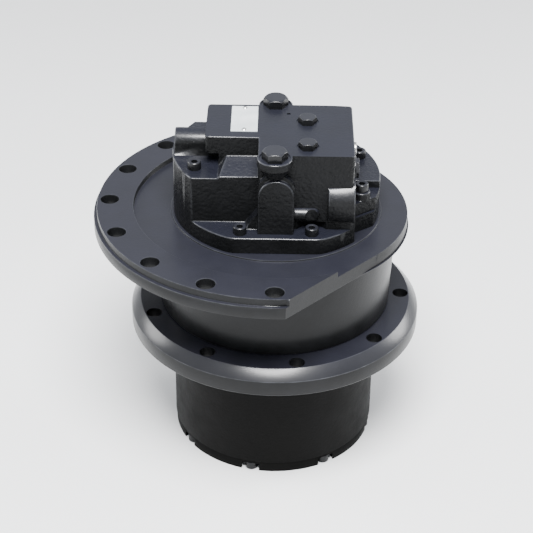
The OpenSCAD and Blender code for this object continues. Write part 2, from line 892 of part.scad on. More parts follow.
module steel_brake_plates() {
  pitch = steel_plate_t + lined_t + 2 * plate_gap;
  color(dark_steel)
    for (i = [0:brake_discs])
      tube(block_r + 4, brake_bore_r - seat_gap, brake_floor_z + i * pitch, steel_plate_t);
}

module lined_brake_discs() {
  pitch = steel_plate_t + lined_t + 2 * plate_gap;
  color(bronze)
    for (i = [0:brake_discs - 1])
      tube(block_r, brake_bore_r - 12, brake_floor_z + steel_plate_t + plate_gap + i * pitch, lined_t);
}

module brake_piston() {
  color(steel)
    difference() {
      tube(block_r + 4, brake_bore_r - slide_gap, piston_z, brake_piston_t);
      tube(brake_bore_r - 3, brake_bore_r + cut, piston_z + 8, 3.4);
      tube(brake_bore_r - 3, brake_bore_r + cut, piston_z + 19, 3.4);
    }
}

// Two conical spring washers, wide rims together
module brake_disc_spring() {
  z0 = piston_z + brake_piston_t;
  half = (recess_z - z0) / 2;
  r0 = block_r + 6;
  r1 = brake_bore_r - 2;
  color(dark_steel)
    rotate_extrude() {
      polygon([[r0, z0], [r1, z0 + half - disc_spring_t], [r1, z0 + half], [r0, z0 + disc_spring_t]]);
      polygon([
        [r0, recess_z], [r1, z0 + half + disc_spring_t], [r1, z0 + half + 0.1],
        [r0, recess_z - disc_spring_t]
      ]);
    }
}

module swash_plate() {
  trunnion_end = swash_bore_r - 2;
  color(steel)
    translate([0, 0, swash_pivot_z]) rotate([swash_tilt, 0, 0]) difference() {
      union() {
        translate([0, 0, -swash_t / 2]) cylinder(r = swash_r, h = swash_t);
        rod_x(trunnion_r, -trunnion_end, trunnion_end, 0, 0);
      }
      translate([0, 0, -swash_t]) cylinder(r = shaft_r + 8, h = 2 * swash_t);
    }
}

// Piston that pushes the low side of the swash plate up for the high speed
module speed_piston() {
  low_y = swash_r - 6;
  tip_r = 3;
  swash_low_z = swash_pivot_z - swash_t / 2 / cos(swash_tilt) - (low_y + tip_r) * tan(swash_tilt);
  piston_h = swash_low_z - loose_gap - speed_piston_z;
  color(steel)
    translate([0, -low_y, speed_piston_z]) {
      cylinder(r = speed_piston_r, h = piston_h - tip_r);
      translate([0, 0, piston_h - tip_r]) cylinder(r1 = speed_piston_r, r2 = tip_r, h = tip_r);
    }
}

// Valve spool with its lands
module counterbalance_spool() {
  x0 = spool_end + spool_travel + cut;
  x1 = spool_plug_x - spool_travel - cut;
  color(steel)
    difference() {
      rod_x(spool_r, x0, x1, spool_y, spool_z);
      for (i = [0:2])
        let (x = x0 + spool_land_w + cut + i * spool_land_step)
          difference() {
            rod_x(spool_r + cut, x, x + spool_land_w, spool_y, spool_z);
            rod_x(spool_r - 4, x - cut, x + spool_land_w + cut, spool_y, spool_z);
          }
    }
}

module second_planet_pins() {
  color(steel)
    second_places() translate([0, 0, thrust_z])
      cylinder(r = second_pin_r, h = neck_z + pin_depth - thrust_z);
}

module second_planet_bushes() {
  color(bronze)
    second_places() tube(second_pin_r + seat_gap, second_pin_r + bush_t, second_z, second_face);
}

module planet_thrust_ring() {
  color(dark_steel)
    difference() {
      tube(second_centre - 18, second_centre + 18, thrust_z, thrust_t);
      translate([0, 0, thrust_z - cut]) second_places()
        cylinder(r = second_pin_r + seat_gap, h = thrust_t + 2 * cut);
    }
}

module inner_bearing_races() {
  track = roller_ring_r - roller_r - roller_gap;
  color(steel) {
    tube(neck_r + seat_gap, track, bearing_a_z, race_w);
    tube(neck_r + seat_gap, track - 2, bearing_a_z + race_w + seat_gap, spacer_t - 2 * seat_gap);
    tube(neck_r + seat_gap, track, bearing_b_z, race_w);
  }
}

module outer_bearing_races() {
  track = roller_ring_r + roller_r + roller_gap;
  color(steel) {
    tube(track, bearing_bore_r - seat_gap, bearing_a_z, race_w);
    tube(track + 2, bearing_bore_r - seat_gap, bearing_a_z + race_w + seat_gap, spacer_t - 2 * seat_gap);
    tube(track, bearing_bore_r - seat_gap, bearing_b_z, race_w);
  }
}

module bearing_rollers() {
  color(steel)
    for (z = [bearing_a_z, bearing_b_z], i = [0:roller_count - 1])
      rotate(i * 360 / roller_count) translate([roller_ring_r, 0, z + 2])
        cylinder(r = roller_r, h = race_w - 4, $fn = 32);
}

module bearing_cages() {
  color(bronze)
    for (z = [bearing_a_z, bearing_b_z])
      difference() {
        tube(roller_ring_r - cage_t / 2, roller_ring_r + cage_t / 2, z + 0.5, race_w - 1);
        for (i = [0:roller_count - 1])
          rotate(i * 360 / roller_count) translate([roller_ring_r, 0, z + 1.9])
            cylinder(r = roller_r + 0.1, h = race_w - 3.8);
      }
}

module bearing_nut() {
  color(dark_steel)
    difference() {
      tube(neck_r + seat_gap, nut_r, bearing_a_z - nut_w, nut_w);
      for (i = [0:7])
        rotate(i * 45) translate([nut_r - 3, -3, bearing_a_z - nut_w - cut])
          cube([10, 6, 5 + cut]);
    }
}

// Hardened ring of the floating seal, its face at z = 0 and its body above
module seal_ring_half() {
  rotate_extrude()
    polygon([
      [seal_r0, 0], [seal_r1 + seal_lip, 0], [seal_r1 + seal_lip, seal_lip - 1],
      [seal_r1, seal_lip + 1], [seal_r1, seal_h], [seal_r0 + 2 * seal_lip, seal_h],
      [seal_r0 + 2 * seal_lip, seal_lip], [seal_r0, seal_lip]
    ]);
}

module spindle_seal_ring() {
  color(dark_steel) translate([0, 0, seal_face_z + seat_gap]) seal_ring_half();
}

module hub_seal_ring() {
  color(dark_steel) translate([0, 0, seal_face_z]) mirror([0, 0, 1]) seal_ring_half();
}

module spindle_toric_ring() {
  color(rubber) o_ring(toric_ring_r, toric_r, seal_face_z + toric_z);
}

module hub_toric_ring() {
  color(rubber) o_ring(toric_ring_r, toric_r, seal_face_z - toric_z);
}

// Half section of the hub, its sprocket flange and the gear case below it
module hub_profile() {
  polygon([
    [gear_seat_r, cover_t], [case_r, cover_t], [case_r, case_len - pilot_len],
    [pilot_r - 1, case_len - pilot_len], [pilot_r, case_len - pilot_len + 1], [pilot_r, case_len],
    [sprocket_flange_r - 1, case_len], [sprocket_flange_r, case_len + 1],
    [sprocket_flange_r, hub_top - hub_chamfer_h], [sprocket_flange_r - hub_chamfer_w, hub_top],
    [seal_seat_r, hub_top], [seal_seat_r, hub_seat_z], [bearing_bore_r, hub_seat_z],
    [bearing_bore_r, bearing_a_z], [web_r, bearing_a_z], [web_r, ring_top], [gear_seat_r, ring_top]
  ]);
}

module cover_bolt_places() {
  for (i = [0:cover_bolt_count - 1])
    rotate(cover_bolt_phase + i * 360 / cover_bolt_count)
      translate([cover_bolt_r, 0, 0]) children();
}

module hub_housing() {
  color(slate)
    difference() {
      rotate_extrude() hub_profile();
      for (i = [0:sprocket_hole_count - 1])
        rotate(i * 360 / sprocket_hole_count) translate([sprocket_bolt_r, 0, case_len - cut])
          cylinder(r = sprocket_hole_d / 2, h = sprocket_flange_t + 2 * cut);
      translate([0, 0, cover_t - cut]) cover_bolt_places()
        cylinder(r = bolt_d / 2 + seat_gap, h = cover_screw_len);
    }
}

module ring_gear() {
  color(steel)
    translate([0, 0, ring_z]) linear_extrude(ring_top - ring_z) difference() {
      circle(r = gear_seat_r - seat_gap);
      ring_outline(ring_teeth);
    }
}

module gear_cover() {
  color(case_black)
    difference() {
      union() {
        cylinder(r = case_r - 1, h = cover_t);
        tube(gear_seat_r - 6, gear_seat_r - 0.1, cover_t - cut, spigot_h + cut);
        translate([0, 0, cover_t - cut]) cylinder(r = 16, h = 4);
      }
      tube(cover_pad_r, 58, -cut, cut + 2);
      translate([0, 0, -cut]) cover_bolt_places() {
        cylinder(r = cover_pocket_r, h = cut + cover_head_z);
        cylinder(r = bolt_d / 2 + 0.5, h = far);
      }
      for (side = [-1, 1])
        rotate(side * 90) translate([cover_plug_r, 0, -cut]) {
          cylinder(r = cover_plug_hole_r + seat_gap, h = far);
          cylinder(r = 1.5 * cover_plug_hole_r, h = cut + 1.5);
        }
      translate([0, 0, cover_t - 5]) cylinder(r = 9 + seat_gap, h = far);
      tube(gear_seat_r - 2.4, gear_seat_r + cut, cover_t + 0.6, 2.8);
    }
}

module cover_bolts() {
  color(dark_steel)
    cover_bolt_places() translate([0, 0, cover_head_z]) rotate([180, 0, 0])
      socket_screw(cover_screw_len);
}

module cover_plugs() {
  color(dark_steel)
    for (side = [-1, 1])
      rotate(side * 90) translate([cover_plug_r, 0, 1.5]) difference() {
        cylinder(r = cover_plug_hole_r, h = cover_t - 2);
        translate([0, 0, -cut]) cylinder(r = cover_plug_hole_r / sqrt(3), h = cover_t / 2, $fn = 6);
      }
}

module thrust_button() {
  color(bronze) translate([0, 0, cover_t - 5]) cylinder(r = 9, h = pinion_z - cover_t + 5 - loose_gap);
}

module case_seal() {
  color(rubber) o_ring(gear_seat_r - 1.25, 1.1, cover_t + 2);
}

module drive_shaft() {
  color(steel)
    difference() {
      union() {
        translate([0, 0, shaft_end_z]) cylinder(r = shaft_r, h = block_top - 6 - shaft_end_z);
        translate([0, 0, block_top - 6 - cut]) cylinder(r = rear_journal_r, h = 28);
      }
      translate([0, 0, shaft_end_z - cut]) cylinder(r = pinion_shaft_r + seat_gap, h = spline_len + 4);
    }
}

module piston_places() {
  for (i = [0:piston_count - 1])
    rotate(i * 360 / piston_count) translate([piston_ring_r, 0, 0]) children();
}

module cylinder_block() {
  color(steel)
    difference() {
      translate([0, 0, block_bottom]) cylinder(r = block_r - seat_gap, h = block_top - block_bottom);
      translate([0, 0, block_bottom - cut]) cylinder(r = shaft_r + seat_gap, h = far);
      translate([0, 0, block_bottom - cut]) piston_places()
        cylinder(r = piston_r + slide_gap, h = block_top - block_bottom - 6);
      translate([0, 0, block_top - 8]) piston_places() cylinder(r = 3.5, h = 10);
    }
}

module motor_pistons() {
  color(steel)
    piston_places() {
      translate([0, 0, block_bottom - 2]) cylinder(r = piston_r, h = piston_len);
      translate([0, 0, shoe_z + shoe_t + seat_gap]) cylinder(r = piston_r - 2, h = piston_neck);
    }
}

module piston_shoes() {
  color(bronze)
    piston_places() translate([0, 0, shoe_z]) difference() {
      cylinder(r = 9.6, h = shoe_t);
      translate([0, 0, -cut]) cylinder(r = 4, h = 2);
    }
}

module shoe_retainer() {
  color(steel)
    difference() {
      tube(shaft_r + 0.1, piston_ring_r + 12, shoe_z + shoe_t + seat_gap, 2);
      translate([0, 0, shoe_z]) piston_places() cylinder(r = piston_r - 2 + seat_gap, h = 8);
    }
}

module sun_pinion() {
  color(steel) {
    translate([0, 0, pinion_z]) linear_extrude(first_face)
      gear_outline(pinion_teeth, first_sun_phase);
    translate([0, 0, pinion_z]) cylinder(r = pinion_shaft_r, h = shaft_end_z + spline_len - pinion_z);
  }
}

module first_carrier() {
  color(dark_steel)
    difference() {
      translate([0, 0, carrier_z]) cylinder(r = first_centre + first_pin_r + 6, h = carrier_t);
      translate([0, 0, carrier_z - cut]) cylinder(r = sun_spigot_r + seat_gap, h = far);
      translate([0, 0, carrier_z - cut]) first_places() cylinder(r = first_pin_r + seat_gap, h = far);
      translate([0, 0, carrier_z - cut]) rotate(180 / first_planets) first_places()
        cylinder(r = 12, h = far);
    }
}

module first_planet_pins() {
  color(steel)
    first_places() {
      translate([0, 0, pinion_z - 5.5]) cylinder(r = first_pin_r + 3, h = 5);
      translate([0, 0, pinion_z - cut])
        cylinder(r = first_pin_r, h = carrier_z + carrier_t - pinion_z + cut);
    }
}

module first_planet_bushes() {
  color(bronze)
    first_places() tube(first_pin_r + seat_gap, first_pin_r + bush_t, pinion_z, first_face);
}

module second_sun() {
  color(steel)
    difference() {
      union() {
        translate([0, 0, second_z]) linear_extrude(second_face)
          gear_outline(sun_teeth, second_sun_phase);
        translate([0, 0, carrier_z]) cylinder(r = sun_spigot_r, h = second_z - carrier_z + cut);
      }
      translate([0, 0, carrier_z - cut]) cylinder(r = sun_bore_r, h = far);
    }
}

// Planet of the first stage that stands at place i
module first_planet(i) {
  at = first_start + i * 360 / first_planets;
  phase = planet_phase(at, first_sun_phase, pinion_teeth, first_planet_teeth);
  color(steel)
    translate([first_centre * cos(at), first_centre * sin(at), pinion_z])
      linear_extrude(first_face) difference() {
        gear_outline(first_planet_teeth, phase);
        circle(r = first_pin_r + bush_t + slide_gap);
      }
}

// Planet of the second stage that stands at place i
module second_planet(i) {
  at = second_start + i * 360 / second_planets;
  phase = planet_phase(at, second_sun_phase, sun_teeth, second_planet_teeth);
  color(steel)
    translate([second_centre * cos(at), second_centre * sin(at), second_z])
      linear_extrude(second_face) difference() {
        gear_outline(second_planet_teeth, phase);
        circle(r = second_pin_r + bush_t + slide_gap);
      }
}

module first_planet_1() first_planet(0);
module first_planet_2() first_planet(1);
module first_planet_3() first_planet(2);
module second_planet_1() second_planet(0);
module second_planet_2() second_planet(1);
module second_planet_3() second_planet(2);
module second_planet_4() second_planet(3);

spindle_housing();
motor_cover();
motor_cover_bolts();
large_port_plugs();
small_port_plugs();
name_plate();
plate_rivets();
spool_plug();
relief_cartridge();
face_plug();
cover_seal();
valve_plate();
front_shaft_bearing();
rear_shaft_bearing();
shaft_seal();
swash_bushes();
steel_brake_plates();
second_planet_pins();
planet_thrust_ring();
inner_bearing_races();
bearing_nut();
spindle_seal_ring();
spindle_toric_ring();
counterbalance_spool();
brake_piston();
brake_disc_spring();
swash_plate();
speed_piston();
bearing_rollers();
bearing_cages();
hub_housing();
ring_gear();
gear_cover();
cover_bolts();
cover_plugs();
thrust_button();
outer_bearing_races();
hub_seal_ring();
hub_toric_ring();
case_seal();
drive_shaft();
cylinder_block();
motor_pistons();
piston_shoes();
shoe_retainer();
lined_brake_discs();
sun_pinion();
first_carrier();
first_planet_pins();
second_sun();
first_planet_1();
first_planet_2();
first_planet_3();
second_planet_1();
second_planet_2();
second_planet_3();
second_planet_4();
first_planet_bushes();
second_planet_bushes();
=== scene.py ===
"""Looks of the two-flange planetary travel drive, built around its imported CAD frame."""

from __future__ import annotations

import json
import logging
from dataclasses import dataclass, field
from enum import Enum
from math import cos, pi, radians, sin, tau

import bmesh
import bpy
from mathutils import Matrix, Vector
from mathutils.bvhtree import BVHTree
from mathutils.kdtree import KDTree


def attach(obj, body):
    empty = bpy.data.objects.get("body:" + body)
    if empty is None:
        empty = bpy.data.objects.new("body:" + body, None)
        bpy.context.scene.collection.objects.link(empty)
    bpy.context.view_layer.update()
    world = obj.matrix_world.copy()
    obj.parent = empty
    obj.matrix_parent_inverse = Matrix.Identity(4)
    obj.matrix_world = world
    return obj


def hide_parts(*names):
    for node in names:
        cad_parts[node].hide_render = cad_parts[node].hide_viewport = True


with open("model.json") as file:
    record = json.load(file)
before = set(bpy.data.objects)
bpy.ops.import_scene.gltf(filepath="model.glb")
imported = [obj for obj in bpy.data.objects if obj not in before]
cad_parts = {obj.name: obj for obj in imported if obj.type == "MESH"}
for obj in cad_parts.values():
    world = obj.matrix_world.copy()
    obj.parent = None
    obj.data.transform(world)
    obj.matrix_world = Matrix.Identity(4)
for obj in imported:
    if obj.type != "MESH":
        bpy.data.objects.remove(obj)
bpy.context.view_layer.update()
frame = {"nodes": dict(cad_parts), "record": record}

LOG = logging.getLogger("travel_drive")
MM = 0.001
NODES = frame["nodes"]

MERGE_REACH = 2e-6
FLAT_ANGLE = 0.3
SHARP_ANGLE = 32.0

EDGE_LAYER = "edge_wear"
MACHINED_LAYER = "machined"
FLAT_LAYER = "flat_face"


class Body(Enum):
    """Rigid bodies that the dressed pieces ride on."""

    SPINDLE = "spindle"
    HUB = "hub"


class Pattern(Enum):
    """Kinds of fine surface pattern."""

    CAST = "cast"
    TURNED = "turned"
    SMOOTH = "smooth"


@dataclass(frozen=True)
class Finish:
    """One surface finish and the numbers that set its look.

    Colours are linear RGB, scales are per metre and depths are in metres.
    """

    name: str
    colour: tuple[float, float, float]
    tone: tuple[float, float, float]
    rough_low: float
    rough_high: float
    metallic: float = 0.0
    specular: float = 0.5
    coat: float = 0.0
    coat_rough: float = 0.24
    pattern: Pattern = Pattern.SMOOTH
    grain_scale: float = 700.0
    grain_depth: float = 0.0001
    # The next two fields lighten rounded edges: partly thin paint wear, partly a painted highlight
    # where edges catch the overhead light.
    edge_scuff_and_highlight_colour: tuple[float, float, float] = (0.06, 0.062, 0.066)
    edge_scuff_and_highlight_amount: float = 0.0
    # The next two fields set a lighter grey on faces that look up: painted top light, standing in for
    # the overhead light.
    top_light_paint_colour: tuple[float, float, float] = (0.05, 0.051, 0.068)
    top_light_paint: float = 0.0


CASTING = Finish(
    name="painted_casting", colour=(0.0032, 0.0034, 0.0036), tone=(0.0055, 0.0057, 0.0062),
    rough_low=0.24, rough_high=0.36, specular=0.09, coat=0.9, pattern=Pattern.CAST,
    grain_scale=430.0, grain_depth=0.0012, edge_scuff_and_highlight_colour=(0.075, 0.078, 0.088), edge_scuff_and_highlight_amount=0.6,
    top_light_paint_colour=(0.0105, 0.0113, 0.018), top_light_paint=0.85,
)
HOUSING = Finish(
    name="painted_housing", colour=(0.0045, 0.0047, 0.005), tone=(0.0075, 0.0078, 0.0085),
    rough_low=0.3, rough_high=0.38, specular=0.13, coat=0.8, pattern=Pattern.TURNED,
    grain_scale=620.0, grain_depth=0.00012, edge_scuff_and_highlight_colour=(0.09, 0.094, 0.106), edge_scuff_and_highlight_amount=0.7,
    top_light_paint_colour=(0.0135, 0.0139, 0.0205), top_light_paint=0.9,
)
BLACK_COVER = Finish(
    name="matt_black_paint", colour=(0.0022, 0.0022, 0.0021), tone=(0.0036, 0.0036, 0.0034),
    rough_low=0.44, rough_high=0.56, specular=0.03, coat=0.0, pattern=Pattern.CAST,
    grain_scale=650.0, grain_depth=0.00015, edge_scuff_and_highlight_colour=(0.012, 0.012, 0.012), edge_scuff_and_highlight_amount=0.25,
    top_light_paint_colour=(0.012, 0.0122, 0.013), top_light_paint=0.3,
)
OXIDE_STEEL = Finish(
    name="painted_fastener", colour=(0.0035, 0.0037, 0.0042), tone=(0.006, 0.0063, 0.007),
    rough_low=0.22, rough_high=0.32, specular=0.24, coat=0.25, pattern=Pattern.SMOOTH,
    grain_scale=900.0, grain_depth=0.00005, edge_scuff_and_highlight_colour=(0.04, 0.041, 0.045), edge_scuff_and_highlight_amount=0.35,
    top_light_paint_colour=(0.017, 0.0178, 0.024), top_light_paint=0.75,
)
BRIGHT_STEEL = Finish(
    name="bright_steel", colour=(0.5, 0.5, 0.5), tone=(0.62, 0.62, 0.61),
    rough_low=0.22, rough_high=0.36, metallic=1.0, pattern=Pattern.SMOOTH,
    grain_scale=1100.0, grain_depth=0.00003, edge_scuff_and_highlight_colour=(0.7, 0.7, 0.7), edge_scuff_and_highlight_amount=0.4,
)
GROUND_STEEL = Finish(
    name="ground_steel", colour=(0.4, 0.405, 0.41), tone=(0.5, 0.5, 0.5),
    rough_low=0.26, rough_high=0.4, metallic=1.0, pattern=Pattern.TURNED,
    grain_scale=1000.0, grain_depth=0.00004, edge_scuff_and_highlight_colour=(0.6, 0.6, 0.6), edge_scuff_and_highlight_amount=0.3,
)
BRONZE = Finish(
    name="plain_bronze", colour=(0.44, 0.28, 0.13), tone=(0.54, 0.36, 0.18),
    rough_low=0.3, rough_high=0.45, metallic=1.0, pattern=Pattern.TURNED,
    grain_scale=900.0, grain_depth=0.00004, edge_scuff_and_highlight_colour=(0.65, 0.48, 0.28), edge_scuff_and_highlight_amount=0.3,
)
RUBBER = Finish(
    name="seal_rubber", colour=(0.014, 0.014, 0.015), tone=(0.022, 0.022, 0.023),
    rough_low=0.6, rough_high=0.8, pattern=Pattern.SMOOTH,
    grain_scale=1500.0, grain_depth=0.00006,
)
PLATE = Finish(
    name="plate_sheet", colour=(0.58, 0.62, 0.64), tone=(0.7, 0.73, 0.75),
    rough_low=0.35, rough_high=0.5, metallic=0.2, pattern=Pattern.SMOOTH,
    grain_scale=800.0, grain_depth=0.00002, edge_scuff_and_highlight_colour=(0.75, 0.77, 0.78), edge_scuff_and_highlight_amount=0.5,
)

SLOT_FINISH = {
    "cast_housing": HOUSING,
    "motor_casting": CASTING,
    "black_cover": BLACK_COVER,
    "steel": GROUND_STEEL,
    "dark_steel": OXIDE_STEEL,
    "bronze": BRONZE,
    "rubber": RUBBER,
    "plate_face": PLATE,
}


def linked(name: str, data: bpy.types.ID) -> bpy.types.Object:
    """Make an object at the origin and link it to the scene.

    Args:
        name: Name of the object.
        data: Its mesh, light or camera.

    Returns:
        The new object.
    """
    made = bpy.data.objects.new(name, data)
    bpy.context.scene.collection.objects.link(made)
    return made


def new_group(
    name: str, inputs: dict[str, tuple[str, object]], outputs: dict[str, str]
) -> bpy.types.NodeTree:
    """Make an empty shader node group with named sockets.

    Args:
        name: Name of the group.
        inputs: Socket name to its type and default value; a None default is left unset.
        outputs: Socket name to its type.

    Returns:
        The group's node tree, with its input and output nodes in place.
    """
    tree = bpy.data.node_groups.new(name, "ShaderNodeTree")
    for label, (kind, value) in inputs.items():
        socket = tree.interface.new_socket(name=label, in_out="INPUT", socket_type=kind)
        if value is not None:
            socket.default_value = value
    for label, kind in outputs.items():
        tree.interface.new_socket(name=label, in_out="OUTPUT", socket_type=kind)
    tree.nodes.new("NodeGroupInput")
    tree.nodes.new("NodeGroupOutput")
    return tree


class NodeWriter:
    """Short helper that adds and links nodes in one tree."""

    def __init__(self, tree: bpy.types.NodeTree) -> None:
        """Keep the tree that the nodes go into."""
        self.tree = tree

    def add(self, kind: str, **values: object) -> bpy.types.Node:
        """Add a node and set its attributes.

        Args:
            kind: The node's type name.
            values: Attribute names and values.

        Returns:
            The new node.
        """
        node = self.tree.nodes.new(kind)
        for key, value in values.items():
            setattr(node, key, value)
        return node

    def feed(self, socket: bpy.types.NodeSocket, source: object) -> None:
        """Link a socket to an output, or set its value."""
        if isinstance(source, bpy.types.NodeSocket):
            self.tree.links.new(source, socket)
        else:
            socket.default_value = source

    def math(self, operation: str, *sources: object, clamp: bool = False) -> bpy.types.NodeSocket:
        """Add a math node.

        Args:
            operation: The node's operation.
            sources: Outputs or numbers for its inputs, in order.
            clamp: Whether the result is held between 0 and 1.

        Returns:
            The node's output.
        """
        node = self.add("ShaderNodeMath", operation=operation, use_clamp=clamp)
        for socket, source in zip(node.inputs, sources):
            self.feed(socket, source)
        return node.outputs[0]

    def mix_colour(self, factor: object, first: object, second: object) -> bpy.types.NodeSocket:
        """Mix two colours.

        Args:
            factor: Share of the second colour.
            first: Colour at factor 0.
            second: Colour at factor 1.

        Returns:
            The mixed colour's output.
        """
        node = self.add("ShaderNodeMix", data_type="RGBA")
        self.feed(node.inputs[0], factor)
        self.feed(node.inputs[6], first)
        self.feed(node.inputs[7], second)
        return node.outputs[2]

    def spread(
        self, value: object, low: float, high: float, to_low: float, to_high: float
    ) -> bpy.types.NodeSocket:
        """Map a value from one range to another, clamped.

        Args:
            value: Output or number to map.
            low: Value that gives to_low.
            high: Value that gives to_high.
            to_low: Result at low.
            to_high: Result at high.

        Returns:
            The mapped value's output.
        """
        node = self.add("ShaderNodeMapRange")
        for socket, source in zip(node.inputs, (value, low, high, to_low, to_high)):
            self.feed(socket, source)
        return node.outputs[0]

    def noise(self, vector: object, scale: object, detail: float, rough: float) -> bpy.types.NodeSocket:
        """Add a noise texture.

        Args:
            vector: Output with the coordinates.
            scale: Scale of the pattern.
            detail: Number of octaves.
            rough: Weight of the finer octaves.

        Returns:
            The noise value's output.
        """
        node = self.add("ShaderNodeTexNoise")
        self.feed(node.inputs["Vector"], vector)
        self.feed(node.inputs["Scale"], scale)
        node.inputs["Detail"].default_value = detail
        node.inputs["Roughness"].default_value = rough
        return node.outputs[0]


class SurfaceGroups:
    """Shader groups that several finishes share."""

    def __init__(self) -> None:
        """Build each group once."""
        self.grain = self.build_grain()
        self.turning = self.build_turning()
        self.scuff_and_highlight = self.build_scuff_and_highlight()
        self.top_light_paint = self.build_top_light_paint()

    @staticmethod
    def build_grain() -> bpy.types.NodeTree:
        """Build the sand-cast grain: a fine bumpy height and a slow mottle.

        Returns:
            The group's node tree.
        """
        tree = new_group(
            "sand_cast_grain",
            {"Position": ("NodeSocketVector", None), "Grain Scale": ("NodeSocketFloat", 600.0)},
            {"Height": "NodeSocketFloat", "Mottle": "NodeSocketFloat"},
        )
        write = NodeWriter(tree)
        source, sink = tree.nodes[0], tree.nodes[1]
        position, scale = source.outputs[0], source.outputs[1]
        fine = write.noise(position, scale, 5.0, 0.62)
        lumps = write.noise(position, write.math("MULTIPLY", scale, 0.16), 3.0, 0.5)
        cells = write.add("ShaderNodeTexVoronoi", feature="SMOOTH_F1")
        write.feed(cells.inputs["Vector"], position)
        write.feed(cells.inputs["Scale"], write.math("MULTIPLY", scale, 0.7))
        pits = write.spread(cells.outputs["Distance"], 0.05, 0.6, 0.0, 0.35)
        height = write.math("ADD", write.math("MULTIPLY", fine, 0.7), pits)
        height = write.math("ADD", height, write.math("MULTIPLY", lumps, 0.9))
        mottle = write.noise(position, write.math("MULTIPLY", scale, 0.05), 4.0, 0.6)
        write.feed(sink.inputs[0], height)
        write.feed(sink.inputs[1], write.spread(mottle, 0.36, 0.64, 0.0, 1.0))
        return tree

    @staticmethod
    def build_turning() -> bpy.types.NodeTree:
        """Build the faint rings that a lathe leaves around the drive's axis.

        Returns:
            The group's node tree.
        """
        tree = new_group(
            "lathe_rings",
            {"Position": ("NodeSocketVector", None), "Ring Scale": ("NodeSocketFloat", 900.0)},
            {"Height": "NodeSocketFloat"},
        )
        write = NodeWriter(tree)
        source, sink = tree.nodes[0], tree.nodes[1]
        parts = write.add("ShaderNodeSeparateXYZ")
        write.feed(parts.inputs[0], source.outputs[0])
        square = write.math("MULTIPLY", parts.outputs[0], parts.outputs[0])
        square = write.math("ADD", square, write.math("MULTIPLY", parts.outputs[1], parts.outputs[1]))
        radius = write.math("SQRT", square)
        rings = write.add("ShaderNodeCombineXYZ")
        write.feed(rings.inputs[0], radius)
        write.feed(rings.inputs[1], parts.outputs[2])
        write.feed(sink.inputs[0], write.noise(rings.outputs[0], source.outputs[1], 3.0, 0.7))
        return tree

    @staticmethod
    def build_scuff_and_highlight() -> bpy.types.NodeTree:
        """Build the broken-up mask that lightens rounded edges: partly paint worn thin, partly a
        painted highlight on edges that face up to the overhead light.

        Returns:
            The group's node tree.
        """
        tree = new_group(
            "worn_edges",
            {
                "Position": ("NodeSocketVector", None),
                "Edge": ("NodeSocketFloat", 0.0),
                "Amount": ("NodeSocketFloat", 0.5),
                "Facing": ("NodeSocketVector", None),
            },
            {"Mask": "NodeSocketFloat"},
        )
        write = NodeWriter(tree)
        source, sink = tree.nodes[0], tree.nodes[1]
        patches = write.noise(source.outputs[0], 60.0, 5.0, 0.7)
        broken = write.spread(patches, 0.42, 0.66, 0.3, 1.0)
        parts = write.add("ShaderNodeSeparateXYZ")
        write.feed(parts.inputs[0], source.outputs[3])
        # Edges that face up are lightened more: painted highlight from the overhead light.
        facing_up_highlight = write.spread(parts.outputs[2], 0.05, 0.5, 0.12, 1.0)
        mask = write.math("MULTIPLY", write.math("MULTIPLY", source.outputs[1], broken), facing_up_highlight)
        write.feed(sink.inputs[0], write.math("MULTIPLY", mask, source.outputs[2], clamp=True))
        return tree

    @staticmethod
    def build_top_light_paint() -> bpy.types.NodeTree:
        """Build the painted top light: a lighter grey laid on faces that look up, where the overhead
        light falls on them.

        Returns:
            The group's node tree.
        """
        tree = new_group(
            "settled_film",
            {
                "Position": ("NodeSocketVector", None),
                "Facing": ("NodeSocketVector", None),
                "Amount": ("NodeSocketFloat", 0.1),
            },
            {"Mask": "NodeSocketFloat", "Gloss": "NodeSocketFloat"},
        )
        write = NodeWriter(tree)
        source, sink = tree.nodes[0], tree.nodes[1]
        parts = write.add("ShaderNodeSeparateXYZ")
        write.feed(parts.inputs[0], source.outputs[1])
        # Faces that look up take the painted top light.
        up = write.spread(parts.outputs[2], 0.3, 0.95, 0.0, 1.0)
        rise = write.spread(parts.outputs[2], 0.1, 0.5, 0.05, 1.0)
        dull = write.spread(parts.outputs[2], 0.86, 0.98, 1.0, 0.4)
        write.feed(sink.inputs[1], write.math("MULTIPLY", rise, dull))
        clouds = write.spread(write.noise(source.outputs[0], 34.0, 6.0, 0.65), 0.3, 0.7, 0.75, 1.0)
        mask = write.math("MULTIPLY", write.math("MULTIPLY", up, clouds), source.outputs[2], clamp=True)
        write.feed(sink.inputs[0], mask)
        return tree


